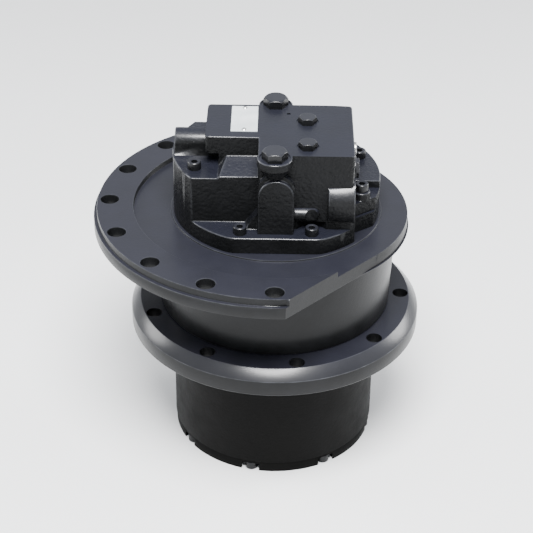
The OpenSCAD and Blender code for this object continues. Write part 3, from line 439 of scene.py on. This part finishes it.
class FinishShop:
    """Makes one material from each finish and hands out the same one afterwards."""

    def __init__(self) -> None:
        """Build the shared groups."""
        self.groups = SurfaceGroups()
        self.made: dict[str, bpy.types.Material] = {}

    def place(self, write: NodeWriter, tree: bpy.types.NodeTree) -> bpy.types.Node:
        """Place a shared group in a material.

        Args:
            write: Writer of the material's node tree.
            tree: The group's node tree.

        Returns:
            The group node.
        """
        node = write.add("ShaderNodeGroup")
        node.node_tree = tree
        return node

    def material(self, finish: Finish) -> bpy.types.Material:
        """Return the material of a finish, made at its first use.

        Args:
            finish: The finish to make.

        Returns:
            Its material.
        """
        if finish.name in self.made:
            return self.made[finish.name]
        material = bpy.data.materials.new(finish.name)
        material.use_nodes = True
        write = NodeWriter(material.node_tree)
        shader = material.node_tree.nodes["Principled BSDF"]
        position = write.add("ShaderNodeTexCoord").outputs["Object"]
        facing = write.add("ShaderNodeNewGeometry").outputs["Normal"]
        edge = write.add("ShaderNodeAttribute", attribute_name=EDGE_LAYER).outputs["Fac"]
        machined = write.add("ShaderNodeAttribute", attribute_name=MACHINED_LAYER).outputs["Fac"]

        grain = self.place(write, self.groups.grain)
        write.feed(grain.inputs["Position"], position)
        grain.inputs["Grain Scale"].default_value = finish.grain_scale
        turning = self.place(write, self.groups.turning)
        write.feed(turning.inputs["Position"], position)
        turning.inputs["Ring Scale"].default_value = finish.grain_scale * 1.6
        scuff_and_highlight = self.place(write, self.groups.scuff_and_highlight)
        write.feed(scuff_and_highlight.inputs["Position"], position)
        write.feed(scuff_and_highlight.inputs["Edge"], edge)
        write.feed(scuff_and_highlight.inputs["Facing"], facing)
        scuff_and_highlight.inputs["Amount"].default_value = finish.edge_scuff_and_highlight_amount
        top_light_paint = self.place(write, self.groups.top_light_paint)
        write.feed(top_light_paint.inputs["Position"], position)
        write.feed(top_light_paint.inputs["Facing"], facing)
        top_light_paint.inputs["Amount"].default_value = finish.top_light_paint

        colour = write.mix_colour(grain.outputs["Mottle"], (*finish.colour, 1.0), (*finish.tone, 1.0))
        # Rounded edges: paint wear and a painted highlight.
        colour = write.mix_colour(scuff_and_highlight.outputs["Mask"], colour, (*finish.edge_scuff_and_highlight_colour, 1.0))
        # Painted top light: faces that look up are mixed towards a lighter grey.
        colour = write.mix_colour(top_light_paint.outputs["Mask"], colour, (*finish.top_light_paint_colour, 1.0))
        write.feed(shader.inputs["Base Color"], colour)

        rough = write.spread(grain.outputs["Mottle"], 0.0, 1.0, finish.rough_low, finish.rough_high)
        rough = write.math("ADD", rough, write.math("MULTIPLY", top_light_paint.outputs["Mask"], 0.12))
        write.feed(shader.inputs["Roughness"], rough)
        shader.inputs["Metallic"].default_value = finish.metallic
        shader.inputs["Specular IOR Level"].default_value = finish.specular
        coat = write.math("MULTIPLY", top_light_paint.outputs["Gloss"], finish.coat)
        write.feed(shader.inputs["Coat Weight"], coat)
        shader.inputs["Coat Roughness"].default_value = finish.coat_rough

        if finish.pattern is Pattern.CAST:
            rough_share = write.spread(machined, 0.0, 1.0, 1.0, 0.12)
            height = write.math("MULTIPLY", grain.outputs["Height"], rough_share)
        elif finish.pattern is Pattern.TURNED:
            height = write.math("MULTIPLY", turning.outputs["Height"], 0.35)
            height = write.math("ADD", height, write.math("MULTIPLY", grain.outputs["Height"], 0.65))
        else:
            height = grain.outputs["Height"]
        bump = write.add("ShaderNodeBump")
        bump.inputs["Strength"].default_value = 1.0
        bump.inputs["Distance"].default_value = finish.grain_depth
        write.feed(bump.inputs["Height"], height)
        write.feed(shader.inputs["Normal"], bump.outputs["Normal"])
        self.made[finish.name] = material
        return material


def merged_copy(node: str) -> bmesh.types.BMesh:
    """Copy a CAD node's mesh with its doubles merged and its flat faces joined.

    Args:
        node: Name of the CAD node.

    Returns:
        The copy as an open bmesh.
    """
    work = bmesh.new()
    work.from_mesh(NODES[node].data)
    bmesh.ops.remove_doubles(work, verts=work.verts, dist=MERGE_REACH)
    bmesh.ops.dissolve_limit(
        work, angle_limit=radians(FLAT_ANGLE), use_dissolve_boundaries=False,
        verts=work.verts, edges=work.edges, delimit={"NORMAL"},
    )
    return work


def mark_flats(work: bmesh.types.BMesh, hard: float, gain: float = 2.5) -> None:
    """Mark the faces that are really flat, so that curved walls alone are shaded round.

    Args:
        work: The mesh, whose flat layer is filled.
        hard: Angle in degrees from which an edge is a hard one.
        gain: How much larger than its neighbour a flat face is at a soft edge.
    """
    layer = work.faces.layers.int.new(FLAT_LAYER)
    area = {face: face.calc_area() for face in work.faces}
    for face in work.faces:
        soft = [
            other for edge in face.edges
            if radians(FLAT_ANGLE) < edge.calc_face_angle(0.0) < radians(hard)
            for other in edge.link_faces if other is not face
        ]
        face[layer] = int(all(area[face] > gain * area[other] for other in soft))


def loop_normals(work: bmesh.types.BMesh) -> list[Vector]:
    """Work out the shading normal of each face corner.

    A corner that shares a soft fan with a flat face takes the flat face's normal, so that flat
    faces stay even and roundings run into them.

    Args:
        work: The mesh, with its sharp edges and its flat layer set.

    Returns:
        One normal for each face corner, in the mesh's order.
    """
    layer = work.faces.layers.int[FLAT_LAYER]
    area = {face: face.calc_area() for face in work.faces}
    made = {}
    for vert in work.verts:
        left = dict.fromkeys(vert.link_loops)
        while left:
            waiting = [left.popitem()[0]]
            fan = []
            while waiting:
                loop = waiting.pop()
                fan.append(loop)
                for edge in (loop.edge, loop.link_loop_prev.edge):
                    if edge.smooth and len(edge.link_faces) == 2:
                        for other in list(left):
                            if other.face in edge.link_faces:
                                del left[other]
                                waiting.append(other)
            flats = [loop for loop in fan if loop.face[layer]]
            normal = Vector()
            if flats:
                for loop in flats:
                    normal += loop.face.normal * area[loop.face]
            else:
                for loop in fan:
                    normal += loop.face.normal * loop.calc_angle()
            for loop in fan:
                made[loop] = normal.normalized() if normal.length > 1e-12 else loop.face.normal.copy()
    return [made[loop] for face in work.faces for loop in face.loops]


def finish_mesh(work: bmesh.types.BMesh, name: str) -> bpy.types.Object:
    """Turn a bmesh into a linked object that shades curved faces round and flat ones even.

    Args:
        work: The bmesh, which is freed.
        name: Name of the new piece.

    Returns:
        The new object, at the origin and with no modifier.
    """
    for face in work.faces:
        face.smooth = True
    for edge in work.edges:
        edge.smooth = len(edge.link_faces) == 2 and edge.calc_face_angle(0.0) < radians(SHARP_ANGLE)
    work.normal_update()
    normals = loop_normals(work)
    mesh = bpy.data.meshes.new(name)
    work.to_mesh(mesh)
    work.free()
    mesh.normals_split_custom_set(normals)
    piece = linked(name, mesh)
    cut = piece.modifiers.new("triangles", "TRIANGULATE")
    cut.keep_custom_normals = True
    return plain_mesh(piece)


def plain_mesh(piece: bpy.types.Object) -> bpy.types.Object:
    """Replace a piece's live modifiers by the mesh that they make.

    Args:
        piece: The object to settle.

    Returns:
        The same object.
    """
    graph = bpy.context.evaluated_depsgraph_get()
    graph.update()
    settled = bpy.data.meshes.new_from_object(piece.evaluated_get(graph), depsgraph=graph)
    piece.modifiers.clear()
    old = piece.data
    piece.data = settled
    settled.name = piece.name
    bpy.data.meshes.remove(old)
    return piece


@dataclass
class SoftEdges:
    """Rounds the hard edges of a CAD node in a copy that stands for it.

    The fields from crowded to bend are shares of the rounding's width.
    """

    width: float
    segments: int = 2
    angle: float = 30.0
    tries: int = 8
    machined_up: tuple[float, ...] = ()
    sharp_places: tuple[tuple[float, float, float, float], ...] = ()
    level_reach: float = 0.3 * MM
    crowded: float = 2.05
    touching: float = 1.15
    fault_reach: float = 1.6
    stray: float = 0.55
    bend: float = 0.1

    def kept_sharp(self, edge: bmesh.types.BMEdge) -> bool:
        """Tell whether an edge lies where a moving part needs the sharp corner.

        Args:
            edge: The edge.

        Returns:
            True within reach of one of the sharp places, each given as x, y, z and reach.
        """
        middle = (edge.verts[0].co + edge.verts[1].co) / 2
        return any((middle - Vector(place)).length < reach for *place, reach in self.sharp_places)

    def chains(self, work: bmesh.types.BMesh) -> list[list[bmesh.types.BMEdge]]:
        """Gather the hard edges in chains that touch each other.

        Args:
            work: The mesh whose edges are gathered.

        Returns:
            One list of edges for each chain.
        """
        hard = dict.fromkeys(
            edge for edge in work.edges
            if len(edge.link_faces) == 2 and edge.calc_face_angle(0.0) > radians(self.angle)
            and not self.kept_sharp(edge)
        )
        chains = []
        while hard:
            waiting = [hard.popitem()[0]]
            chain = []
            while waiting:
                edge = waiting.pop()
                chain.append(edge)
                for vert in edge.verts:
                    for other in vert.link_edges:
                        if other in hard:
                            del hard[other]
                            waiting.append(other)
            chains.append(chain)
        return chains

    def spots(
        self, chains: list[list[bmesh.types.BMEdge]]
    ) -> list[tuple[Vector, int, bmesh.types.BMEdge]]:
        """Lay sample points along the chains.

        Args:
            chains: The chains of hard edges.

        Returns:
            Each point with its chain's number and its edge.
        """
        found = []
        for index, chain in enumerate(chains):
            for edge in chain:
                first, second = (vert.co.copy() for vert in edge.verts)
                steps = max(1, min(60, int((first - second).length / self.width)))
                found.extend((first.lerp(second, i / steps), index, edge) for i in range(steps + 1))
        return found

    def roomy(
        self, chains: list[list[bmesh.types.BMEdge]],
        spots: list[tuple[Vector, int, bmesh.types.BMEdge]], tree: KDTree, faults: list[Vector],
    ) -> list[bmesh.types.BMEdge]:
        """Pick the edges that can be rounded without running into another chain.

        Where two chains lie close, an inner or shorter one stays sharp; where they nearly touch, so
        does that stretch of the other. Edges at a fault of an earlier try stay sharp too.

        Args:
            chains: The chains of hard edges.
            spots: Sample points along them.
            tree: The same points, to search.
            faults: Places where an earlier rounding went wrong.

        Returns:
            The edges to round.
        """
        rank = [
            (
                sum(edge.is_convex for edge in chain) * 2 > len(chain),
                sum(edge.calc_length() for edge in chain), index,
            )
            for index, chain in enumerate(chains)
        ]
        dropped_chains, dropped_edges = set(), set()
        for place, index, edge in spots:
            for _, number, distance in tree.find_range(place, self.crowded * self.width):
                other = spots[number][1]
                if other != index and rank[index] < rank[other]:
                    dropped_chains.add(index)
                    if distance < self.touching * self.width:
                        dropped_edges.add(spots[number][2])
        for place in faults:
            for _, number, _ in tree.find_range(place, self.fault_reach * self.width):
                dropped_edges.add(spots[number][2])
        return [
            edge for index, chain in enumerate(chains) if index not in dropped_chains
            for edge in chain if edge not in dropped_edges
        ]

    def faults(
        self, work: bmesh.types.BMesh, surface: BVHTree, rounded: set[bmesh.types.BMFace]
    ) -> list[Vector]:
        """Find where a rounding left the surface, folded over or bent a flat face.

        Args:
            work: The rounded mesh.
            surface: The mesh before it was rounded.
            rounded: The new faces.

        Returns:
            The places of the faults.
        """
        bad = []
        stray = self.stray * self.width
        for vert in work.verts:
            if surface.find_nearest(vert.co)[3] > stray:
                bad.append(vert.co.copy())
                bad.extend(edge.other_vert(vert).co.copy() for edge in vert.link_edges)
        for face in work.faces:
            middle = face.calc_center_median()
            if face in rounded:
                _, normal, _, distance = surface.find_nearest(middle)
                turned = face.calc_area() > 1e-9 and normal.dot(face.normal) < 0.1
                if distance > stray or turned:
                    bad.extend(vert.co.copy() for vert in face.verts)
            elif len(face.verts) > 4:
                bad.extend(
                    vert.co.copy() for vert in face.verts
                    if abs((vert.co - middle).dot(face.normal)) > self.bend * self.width
                )
        for corners in work.calc_loop_triangles():
            first, second, third = (loop.vert.co for loop in corners)
            turn = (second - first).cross(third - first)
            if turn.length > 1e-8 and turn.dot(corners[0].face.normal) < 0.0:
                bad.extend((first.copy(), second.copy(), third.copy()))
        return bad

    def build(self, node: str, name: str) -> bpy.types.Object:
        """Build the rounded copy of a node.

        Args:
            node: Name of the CAD node.
            name: Name of the new piece.

        Returns:
            The new piece, not yet dressed.
        """
        faults = []
        for attempt in range(self.tries):
            work = merged_copy(node)
            surface = BVHTree.FromBMesh(work)
            edge_layer = work.faces.layers.float.new(EDGE_LAYER)
            machined_layer = work.faces.layers.float.new(MACHINED_LAYER)
            mark_flats(work, self.angle)
            flat_layer = work.faces.layers.int[FLAT_LAYER]
            chains = self.chains(work)
            spots = self.spots(chains)
            tree = KDTree(len(spots))
            for number, spot in enumerate(spots):
                tree.insert(spot[0], number)
            tree.balance()
            convex = [spot[2].is_convex for spot in spots]
            result = bmesh.ops.bevel(
                work, geom=self.roomy(chains, spots, tree, faults), offset=self.width,
                offset_type="OFFSET", segments=self.segments, profile=0.5, affect="EDGES",
                clamp_overlap=False, loop_slide=True,
            )
            work.normal_update()
            for face in result["faces"]:
                face[flat_layer] = 0
                face[edge_layer] = float(convex[tree.find(face.calc_center_median())[1]])
            found = self.faults(work, surface, set(result["faces"]))
            LOG.info("%s: try %d, %d places to leave sharp", node, attempt + 1, len(found))
            if not found or attempt == self.tries - 1:
                break
            faults.extend(found)
            work.free()
        for face in work.faces:
            height = face.calc_center_median().z
            near = any(abs(height - level) < self.level_reach for level in self.machined_up)
            face[machined_layer] = float(near and face.normal.z > 0.999)
        return finish_mesh(work, name)


@dataclass
class Dresser:
    """Puts a finish on a piece, seats it on its body and reports it."""

    shop: FinishShop

    def dress(
        self, piece: bpy.types.Object, finish: Finish, body: Body, slot: str, *replaced: str
    ) -> None:
        """Finish a new piece, seat it on its body and hide the nodes that it stands for.

        Args:
            piece: The piece, at the origin.
            finish: Its surface finish.
            body: Body that it rides on.
            slot: Material slot of the record for the piece; not used.
            replaced: CAD nodes that it stands for.
        """
        piece.data.materials.clear()
        piece.data.materials.append(self.shop.material(finish))
        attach(piece, body.value)
        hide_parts(*replaced)
        LOG.info("%s: %d faces on %s", piece.name, len(piece.data.polygons), body.value)

    def dress_node(self, node: str, finish: Finish) -> None:
        """Give a CAD node its finish through its material slots.

        Args:
            node: Name of the node.
            finish: Its surface finish.
        """
        target = NODES[node]
        material = self.shop.material(finish)
        if not target.material_slots:
            target.data.materials.append(material)
        for holder in target.material_slots:
            holder.material = material
        LOG.info("%s: finish %s", node, finish.name)


@dataclass
class FrameHousing:
    """Wide frame flange with its drum."""

    edge: float = 0.7 * MM
    face_height: float = 265.5 * MM
    recess_height: float = 261.0 * MM
    land_height: float = 259.5 * MM
    rim_height: float = 258.0 * MM

    def build(self, dresser: Dresser) -> None:
        """Build the rounded housing."""
        levels = (self.face_height, self.recess_height, self.land_height, self.rim_height)
        soft = SoftEdges(self.edge, machined_up=levels)
        piece = soft.build("spindle_housing", "frame_housing_casting")
        dresser.dress(piece, HOUSING, Body.SPINDLE, "cast_housing", "spindle_housing")


@dataclass
class SprocketHub:
    """Turning hub with the sprocket flange and the gear case."""

    edge: float = 0.5 * MM
    flange_top: float = 157.8 * MM
    flange_foot: float = 131.2 * MM

    def build(self, dresser: Dresser) -> None:
        """Build the rounded hub."""
        soft = SoftEdges(self.edge, machined_up=(self.flange_top,))
        piece = soft.build("hub_housing", "sprocket_hub_casting")
        dresser.dress(piece, HOUSING, Body.HUB, "cast_housing", "hub_housing")
        # Painted shade: the gear case below the flange takes the matt black finish, as the shade of a
        # case that faces down, away from the overhead light.
        piece.data.materials.append(dresser.shop.material(BLACK_COVER))
        for face in piece.data.polygons:
            if face.center.z < self.flange_foot:
                face.material_index = 1


@dataclass
class GearCover:
    """Black cover at the foot, with the pockets of its screws."""

    edge: float = 0.8 * MM

    def build(self, dresser: Dresser) -> None:
        """Build the rounded cover."""
        piece = SoftEdges(self.edge).build("gear_cover", "gear_cover_casting")
        dresser.dress(piece, BLACK_COVER, Body.HUB, "black_cover", "gear_cover")


@dataclass
class MotorCover:
    """Cast motor cover with its port block, bosses and column."""

    edge: float = 1.3 * MM
    edge_steps: int = 3
    hard_angle: float = 34.0
    machined_levels: tuple[float, ...] = (358.0 * MM, 357.0 * MM)
    spool_bore_end: tuple[float, float, float] = (-14.0 * MM, -58.0 * MM, 305.0 * MM)
    spool_bore_reach: float = 13.0 * MM

    def build(self, dresser: Dresser) -> None:
        """Build the rounded casting."""
        soft = SoftEdges(
            self.edge, self.edge_steps, self.hard_angle, machined_up=self.machined_levels,
            sharp_places=((*self.spool_bore_end, self.spool_bore_reach),),
        )
        piece = soft.build("motor_cover", "motor_cover_casting")
        dresser.dress(piece, CASTING, Body.SPINDLE, "motor_casting", "motor_cover")


@dataclass
class CoverFittings:
    """Plugs and cartridge on the port block."""

    plug_edge: float = 0.35 * MM
    plain_fittings: dict[str, Finish] = field(default_factory=lambda: {
        "large_port_plugs": OXIDE_STEEL,
        "small_port_plugs": OXIDE_STEEL,
        "spool_plug": OXIDE_STEEL,
        "relief_cartridge": OXIDE_STEEL,
        "face_plug": BRIGHT_STEEL,
    })

    def build(self, dresser: Dresser) -> None:
        """Build the rounded fittings."""
        for node, finish in self.plain_fittings.items():
            piece = SoftEdges(self.plug_edge).build(node, f"{node}_turned")
            slot = "steel" if finish is BRIGHT_STEEL else "dark_steel"
            dresser.dress(piece, finish, Body.SPINDLE, slot, node)


@dataclass(frozen=True)
class ScrewSeat:
    """Seat of one cap screw: its place and how far its shank goes."""

    place: tuple[float, float, float]
    length: float


@dataclass
class CapScrews:
    """Knurled socket head screws, set on their seats by a node tree."""

    head_r: float = 6.5 * MM
    head_h: float = 8.0 * MM
    shank_r: float = 4.0 * MM
    socket_r: float = 3.46 * MM
    socket_depth: float = 4.5 * MM
    chamfer: float = 0.7 * MM
    knurls: int = 36

    def outline(self, radius: float, ridge: float) -> list[tuple[float, float]]:
        """List the points of a knurled circle.

        Args:
            radius: Outer radius.
            ridge: Depth of the knurls.

        Returns:
            Points in the plane.
        """
        count = self.knurls * 2
        return [
            (reach * cos(tau * i / count), reach * sin(tau * i / count))
            for i in range(count) for reach in [radius - ridge * (i % 2)]
        ]

    def hexagon(self, radius: float) -> list[tuple[float, float]]:
        """List as many points as the head's outline has, laid along a hexagon.

        Args:
            radius: Distance from the centre to a corner.

        Returns:
            Points in the plane.
        """
        count = self.knurls * 2
        points = []
        for i in range(count):
            angle = tau * i / count
            within = (angle % (pi / 3)) - pi / 6
            reach = radius * cos(pi / 6) / cos(within)
            points.append((reach * cos(angle), reach * sin(angle)))
        return points

    def head_mesh(self) -> bpy.types.Mesh:
        """Build one screw head with its seat at the origin.

        Returns:
            The mesh.
        """
        work = bmesh.new()
        top, base = self.head_h, 0.0
        sections = [
            (self.outline(self.head_r - 0.2 * MM, 0.0), base),
            (self.outline(self.head_r, 0.22 * MM), base + 0.4 * MM),
            (self.outline(self.head_r, 0.22 * MM), top - self.chamfer),
            (self.outline(self.head_r - 0.5 * MM, 0.0), top - 0.15 * MM),
            (self.outline(self.head_r - self.chamfer, 0.0), top),
            (self.outline(self.socket_r + 0.5 * MM, 0.0), top),
            (self.hexagon(self.socket_r), top - 0.4 * MM),
            (self.hexagon(self.socket_r), top - self.socket_depth),
        ]
        rings = [[work.verts.new((x, y, z)) for x, y in points] for points, z in sections]
        count = len(rings[0])
        for lower, upper in zip(rings, rings[1:]):
            for i in range(count):
                j = (i + 1) % count
                work.faces.new((lower[i], lower[j], upper[j], upper[i]))
        for ring, z in ((rings[0], base), (rings[-1], top - self.socket_depth - 1.2 * MM)):
            centre = work.verts.new((0.0, 0.0, z))
            for i in range(count):
                work.faces.new((ring[i], centre, ring[(i + 1) % count]))
        bmesh.ops.recalc_face_normals(work, faces=work.faces)
        mesh = bpy.data.meshes.new("cap_screw_head")
        work.to_mesh(mesh)
        work.free()
        mesh.shade_smooth()
        mesh.set_sharp_from_angle(angle=radians(30))
        return mesh

    def tree(self, material: bpy.types.Material) -> bpy.types.NodeTree:
        """Build the node tree that sets a head and a shank on each seat.

        Args:
            material: Material of the screws.

        Returns:
            The node tree, whose inputs are named.
        """
        tree = bpy.data.node_groups.new("cap_screws_on_seats", "GeometryNodeTree")
        inputs = {
            "Seats": "Geometry", "Head": "Object", "Shank Radius": "Float", "Turn": "Float",
            "Seed": "Int",
        }
        for label, kind in inputs.items():
            tree.interface.new_socket(name=label, in_out="INPUT", socket_type=f"NodeSocket{kind}")
        tree.interface.new_socket(name="Screws", in_out="OUTPUT", socket_type="NodeSocketGeometry")
        write = NodeWriter(tree)
        source = write.add("NodeGroupInput").outputs
        sink = write.add("NodeGroupOutput")
        points = write.add("GeometryNodeMeshToPoints")
        write.feed(points.inputs["Mesh"], source["Seats"])
        info = write.add("GeometryNodeObjectInfo")
        write.feed(info.inputs["Object"], source["Head"])
        spin = write.add("FunctionNodeRandomValue", data_type="FLOAT")
        write.feed(spin.inputs["Seed"], source["Seed"])
        spin.inputs[2].default_value = 0.0
        spin.inputs[3].default_value = 1.0
        angle = write.add("ShaderNodeMath", operation="MULTIPLY")
        write.feed(angle.inputs[0], spin.outputs[1])
        write.feed(angle.inputs[1], source["Turn"])
        turn = write.add("ShaderNodeCombineXYZ")
        write.feed(turn.inputs["Z"], angle.outputs[0])
        heads = write.add("GeometryNodeInstanceOnPoints")
        write.feed(heads.inputs["Points"], points.outputs[0])
        write.feed(heads.inputs["Instance"], info.outputs["Geometry"])
        write.feed(heads.inputs["Rotation"], turn.outputs[0])
        rod = write.add("GeometryNodeMeshCylinder")
        rod.inputs["Vertices"].default_value = 32
        write.feed(rod.inputs["Radius"], source["Shank Radius"])
        rod.inputs["Depth"].default_value = 1.0
        drop = write.add("GeometryNodeTransform")
        write.feed(drop.inputs["Geometry"], rod.outputs["Mesh"])
        drop.inputs["Translation"].default_value = (0.0, 0.0, -0.5)
        length = write.add("GeometryNodeInputNamedAttribute", data_type="FLOAT")
        length.inputs["Name"].default_value = "shank"
        size = write.add("ShaderNodeCombineXYZ")
        size.inputs["X"].default_value = 1.0
        size.inputs["Y"].default_value = 1.0
        write.feed(size.inputs["Z"], length.outputs["Attribute"])
        shanks = write.add("GeometryNodeInstanceOnPoints")
        write.feed(shanks.inputs["Points"], points.outputs[0])
        write.feed(shanks.inputs["Instance"], drop.outputs[0])
        write.feed(shanks.inputs["Scale"], size.outputs[0])
        join = write.add("GeometryNodeJoinGeometry")
        write.feed(join.inputs[0], heads.outputs[0])
        write.feed(join.inputs[0], shanks.outputs[0])
        real = write.add("GeometryNodeRealizeInstances")
        write.feed(real.inputs[0], join.outputs[0])
        paint = write.add("GeometryNodeSetMaterial")
        write.feed(paint.inputs["Geometry"], real.outputs[0])
        paint.inputs["Material"].default_value = material
        write.feed(sink.inputs[0], paint.outputs[0])
        return tree

    def build(
        self, dresser: Dresser, name: str, seats: list[ScrewSeat], body: Body, node: str,
        down: bool, seed: int,
    ) -> None:
        """Set one row of screws.

        Args:
            dresser: Dresser of the pieces.
            name: Name of the new piece.
            seats: Where each screw sits.
            body: Body that the screws ride on.
            node: CAD node that they stand for.
            down: Whether the heads point down instead of up.
            seed: Seed of the heads' turns.
        """
        flip = -1.0 if down else 1.0
        mesh = bpy.data.meshes.new(name)
        mesh.from_pydata([(s.place[0], s.place[1], s.place[2] * flip) for s in seats], [], [])
        shank = mesh.attributes.new("shank", "FLOAT", "POINT")
        for item, seat in zip(shank.data, seats):
            item.value = seat.length
        piece = linked(name, mesh)
        head = linked("screw_head_pattern", self.head_mesh())
        tree = self.tree(dresser.shop.material(OXIDE_STEEL))
        modifier = piece.modifiers.new("screws", "NODES")
        modifier.node_group = tree
        values = {"Head": head, "Shank Radius": self.shank_r, "Turn": tau / 6, "Seed": seed}
        for item in tree.interface.items_tree:
            if item.name in values:
                modifier[item.identifier] = values[item.name]
        plain_mesh(piece)
        bpy.data.objects.remove(head)
        bpy.data.node_groups.remove(tree)
        if down:
            piece.data.transform(Matrix.Diagonal((1.0, 1.0, -1.0, 1.0)))
            piece.data.flip_normals()
        dresser.dress(piece, OXIDE_STEEL, body, "dark_steel", node)


@dataclass
class ScrewRows:
    """The two rows of cap screws: on the motor cover and in the gear cover."""

    motor_r: float = 91.0 * MM
    motor_angles: tuple[float, ...] = (22.5, 67.5, 112.5, 152.0, -152.0, -112.5, -67.5, -22.5)
    motor_seats: tuple[float, ...] = (300.0, 300.0, 300.0, 300.0, 326.0, 278.0, 278.0, 300.0)
    thread_end: float = 239.0 * MM
    cover_count: int = 8
    cover_r: float = 98.925 * MM
    cover_phase: float = -12.5
    cover_seat: float = 8.6 * MM
    cover_length: float = 24.0 * MM

    def build(self, dresser: Dresser) -> None:
        """Build both rows."""
        screws = CapScrews()
        top = [
            ScrewSeat(
                (self.motor_r * cos(radians(angle)), self.motor_r * sin(radians(angle)), seat * MM),
                seat * MM - self.thread_end,
            )
            for angle, seat in zip(self.motor_angles, self.motor_seats)
        ]
        screws.build(dresser, "motor_cover_screws", top, Body.SPINDLE, "motor_cover_bolts", False, 3)
        foot = []
        for i in range(self.cover_count):
            angle = radians(self.cover_phase + 360.0 / self.cover_count * i)
            place = (self.cover_r * cos(angle), self.cover_r * sin(angle), self.cover_seat)
            foot.append(ScrewSeat(place, self.cover_length))
        screws.build(dresser, "gear_cover_screws", foot, Body.HUB, "cover_bolts", True, 5)


@dataclass
class InnerParts:
    """Pieces inside the drive, which keep their CAD shape."""

    def build(self, dresser: Dresser, done: set[str]) -> None:
        """Give each node that no piece stands for its finish.

        Args:
            dresser: Dresser of the pieces.
            done: Nodes that a piece already stands for.
        """
        slots = {row["node"]: row["material_slot"] for row in frame["record"]["subparts"]}
        for node in sorted(NODES):
            if node not in done:
                dresser.dress_node(node, SLOT_FINISH[slots[node]])


@dataclass
class Studio:
    """Camera, floor and soft lights."""

    eye: tuple[float, float, float] = (0.0, -1.44135, 1.08997)
    pitch: float = 32.05
    yaw: float = 0.36
    roll: float = 0.75
    lens: float = 110.29
    floor_size: float = 12.0
    aim_height: float = 0.2
    room_light: float = 0.95

    def camera(self) -> None:
        """Set the camera where the photograph was taken from."""
        data = bpy.data.cameras.new("studio_camera")
        data.lens = self.lens
        data.sensor_width = 36.0
        data.clip_end = 50.0
        camera = linked("studio_camera", data)
        turn = (
            Matrix.Rotation(radians(self.yaw), 4, "Z")
            @ Matrix.Rotation(radians(90.0 - self.pitch), 4, "X")
            @ Matrix.Rotation(radians(self.roll), 4, "Z")
        )
        camera.matrix_world = Matrix.Translation(Vector(self.eye)) @ turn
        bpy.context.scene.camera = camera

    def light(self, name: str, place: tuple[float, float, float], size: float, power: float) -> None:
        """Add one soft light that looks at the drive.

        Args:
            name: Name of the light.
            place: Where it stands.
            size: Width of its panel.
            power: Its power in watts.
        """
        data = bpy.data.lights.new(name, "AREA")
        data.shape = "DISK"
        data.size = size
        data.energy = power
        lamp = linked(name, data)
        lamp.location = place
        aim = Vector((0.0, 0.0, self.aim_height)) - Vector(place)
        lamp.rotation_euler = aim.to_track_quat("-Z", "Y").to_euler()

    def floor(self) -> None:
        """Lay the pale floor."""
        half = self.floor_size / 2
        mesh = bpy.data.meshes.new("studio_floor")
        corners = [(-half, -half, 0.0), (half, -half, 0.0), (half, half, 0.0), (-half, half, 0.0)]
        mesh.from_pydata(corners, [], [(0, 1, 2, 3)])
        plane = linked("studio_floor", mesh)
        material = bpy.data.materials.new("floor_paper")
        material.use_nodes = True
        write = NodeWriter(material.node_tree)
        shader = material.node_tree.nodes["Principled BSDF"]
        position = write.add("ShaderNodeTexCoord").outputs["Object"]
        shade = write.spread(write.noise(position, 3.0, 4.0, 0.5), 0.3, 0.7, 0.0, 1.0)
        colour = write.mix_colour(shade, (0.93, 0.935, 0.94, 1.0), (0.95, 0.955, 0.96, 1.0))
        write.feed(shader.inputs["Base Color"], colour)
        shader.inputs["Roughness"].default_value = 0.75
        mesh.materials.append(material)

    def surroundings(self) -> None:
        """Light the room evenly."""
        world = bpy.data.worlds.new("studio_room")
        world.use_nodes = True
        background = world.node_tree.nodes["Background"]
        background.inputs["Color"].default_value = (0.93, 0.96, 1.0, 1.0)
        background.inputs["Strength"].default_value = self.room_light
        bpy.context.scene.world = world

    def build(self) -> None:
        """Set up the camera, the floor and the lights."""
        self.camera()
        self.floor()
        self.surroundings()
        self.light("key_softbox", (0.0, -0.8, 1.7), 0.9, 105.0)
        self.light("left_softbox", (-1.6, 0.5, 0.9), 0.7, 14.0)
        self.light("right_softbox", (1.5, 0.7, 0.8), 0.7, 18.0)
        LOG.info("camera, floor and lights are set")


def main() -> None:
    """Build the drive from its frame housing outwards."""
    logging.basicConfig(level=logging.INFO, format="%(name)s %(message)s")
    Studio().build()
    dresser = Dresser(FinishShop())
    fittings = CoverFittings()
    for assembly in (FrameHousing(), SprocketHub(), GearCover(), MotorCover(), fittings, ScrewRows()):
        assembly.build(dresser)
    done = {
        "spindle_housing", "hub_housing", "gear_cover", "motor_cover", "motor_cover_bolts",
        "cover_bolts", *fittings.plain_fittings,
    }
    InnerParts().build(dresser, done)


if __name__ == "__main__":
    main()
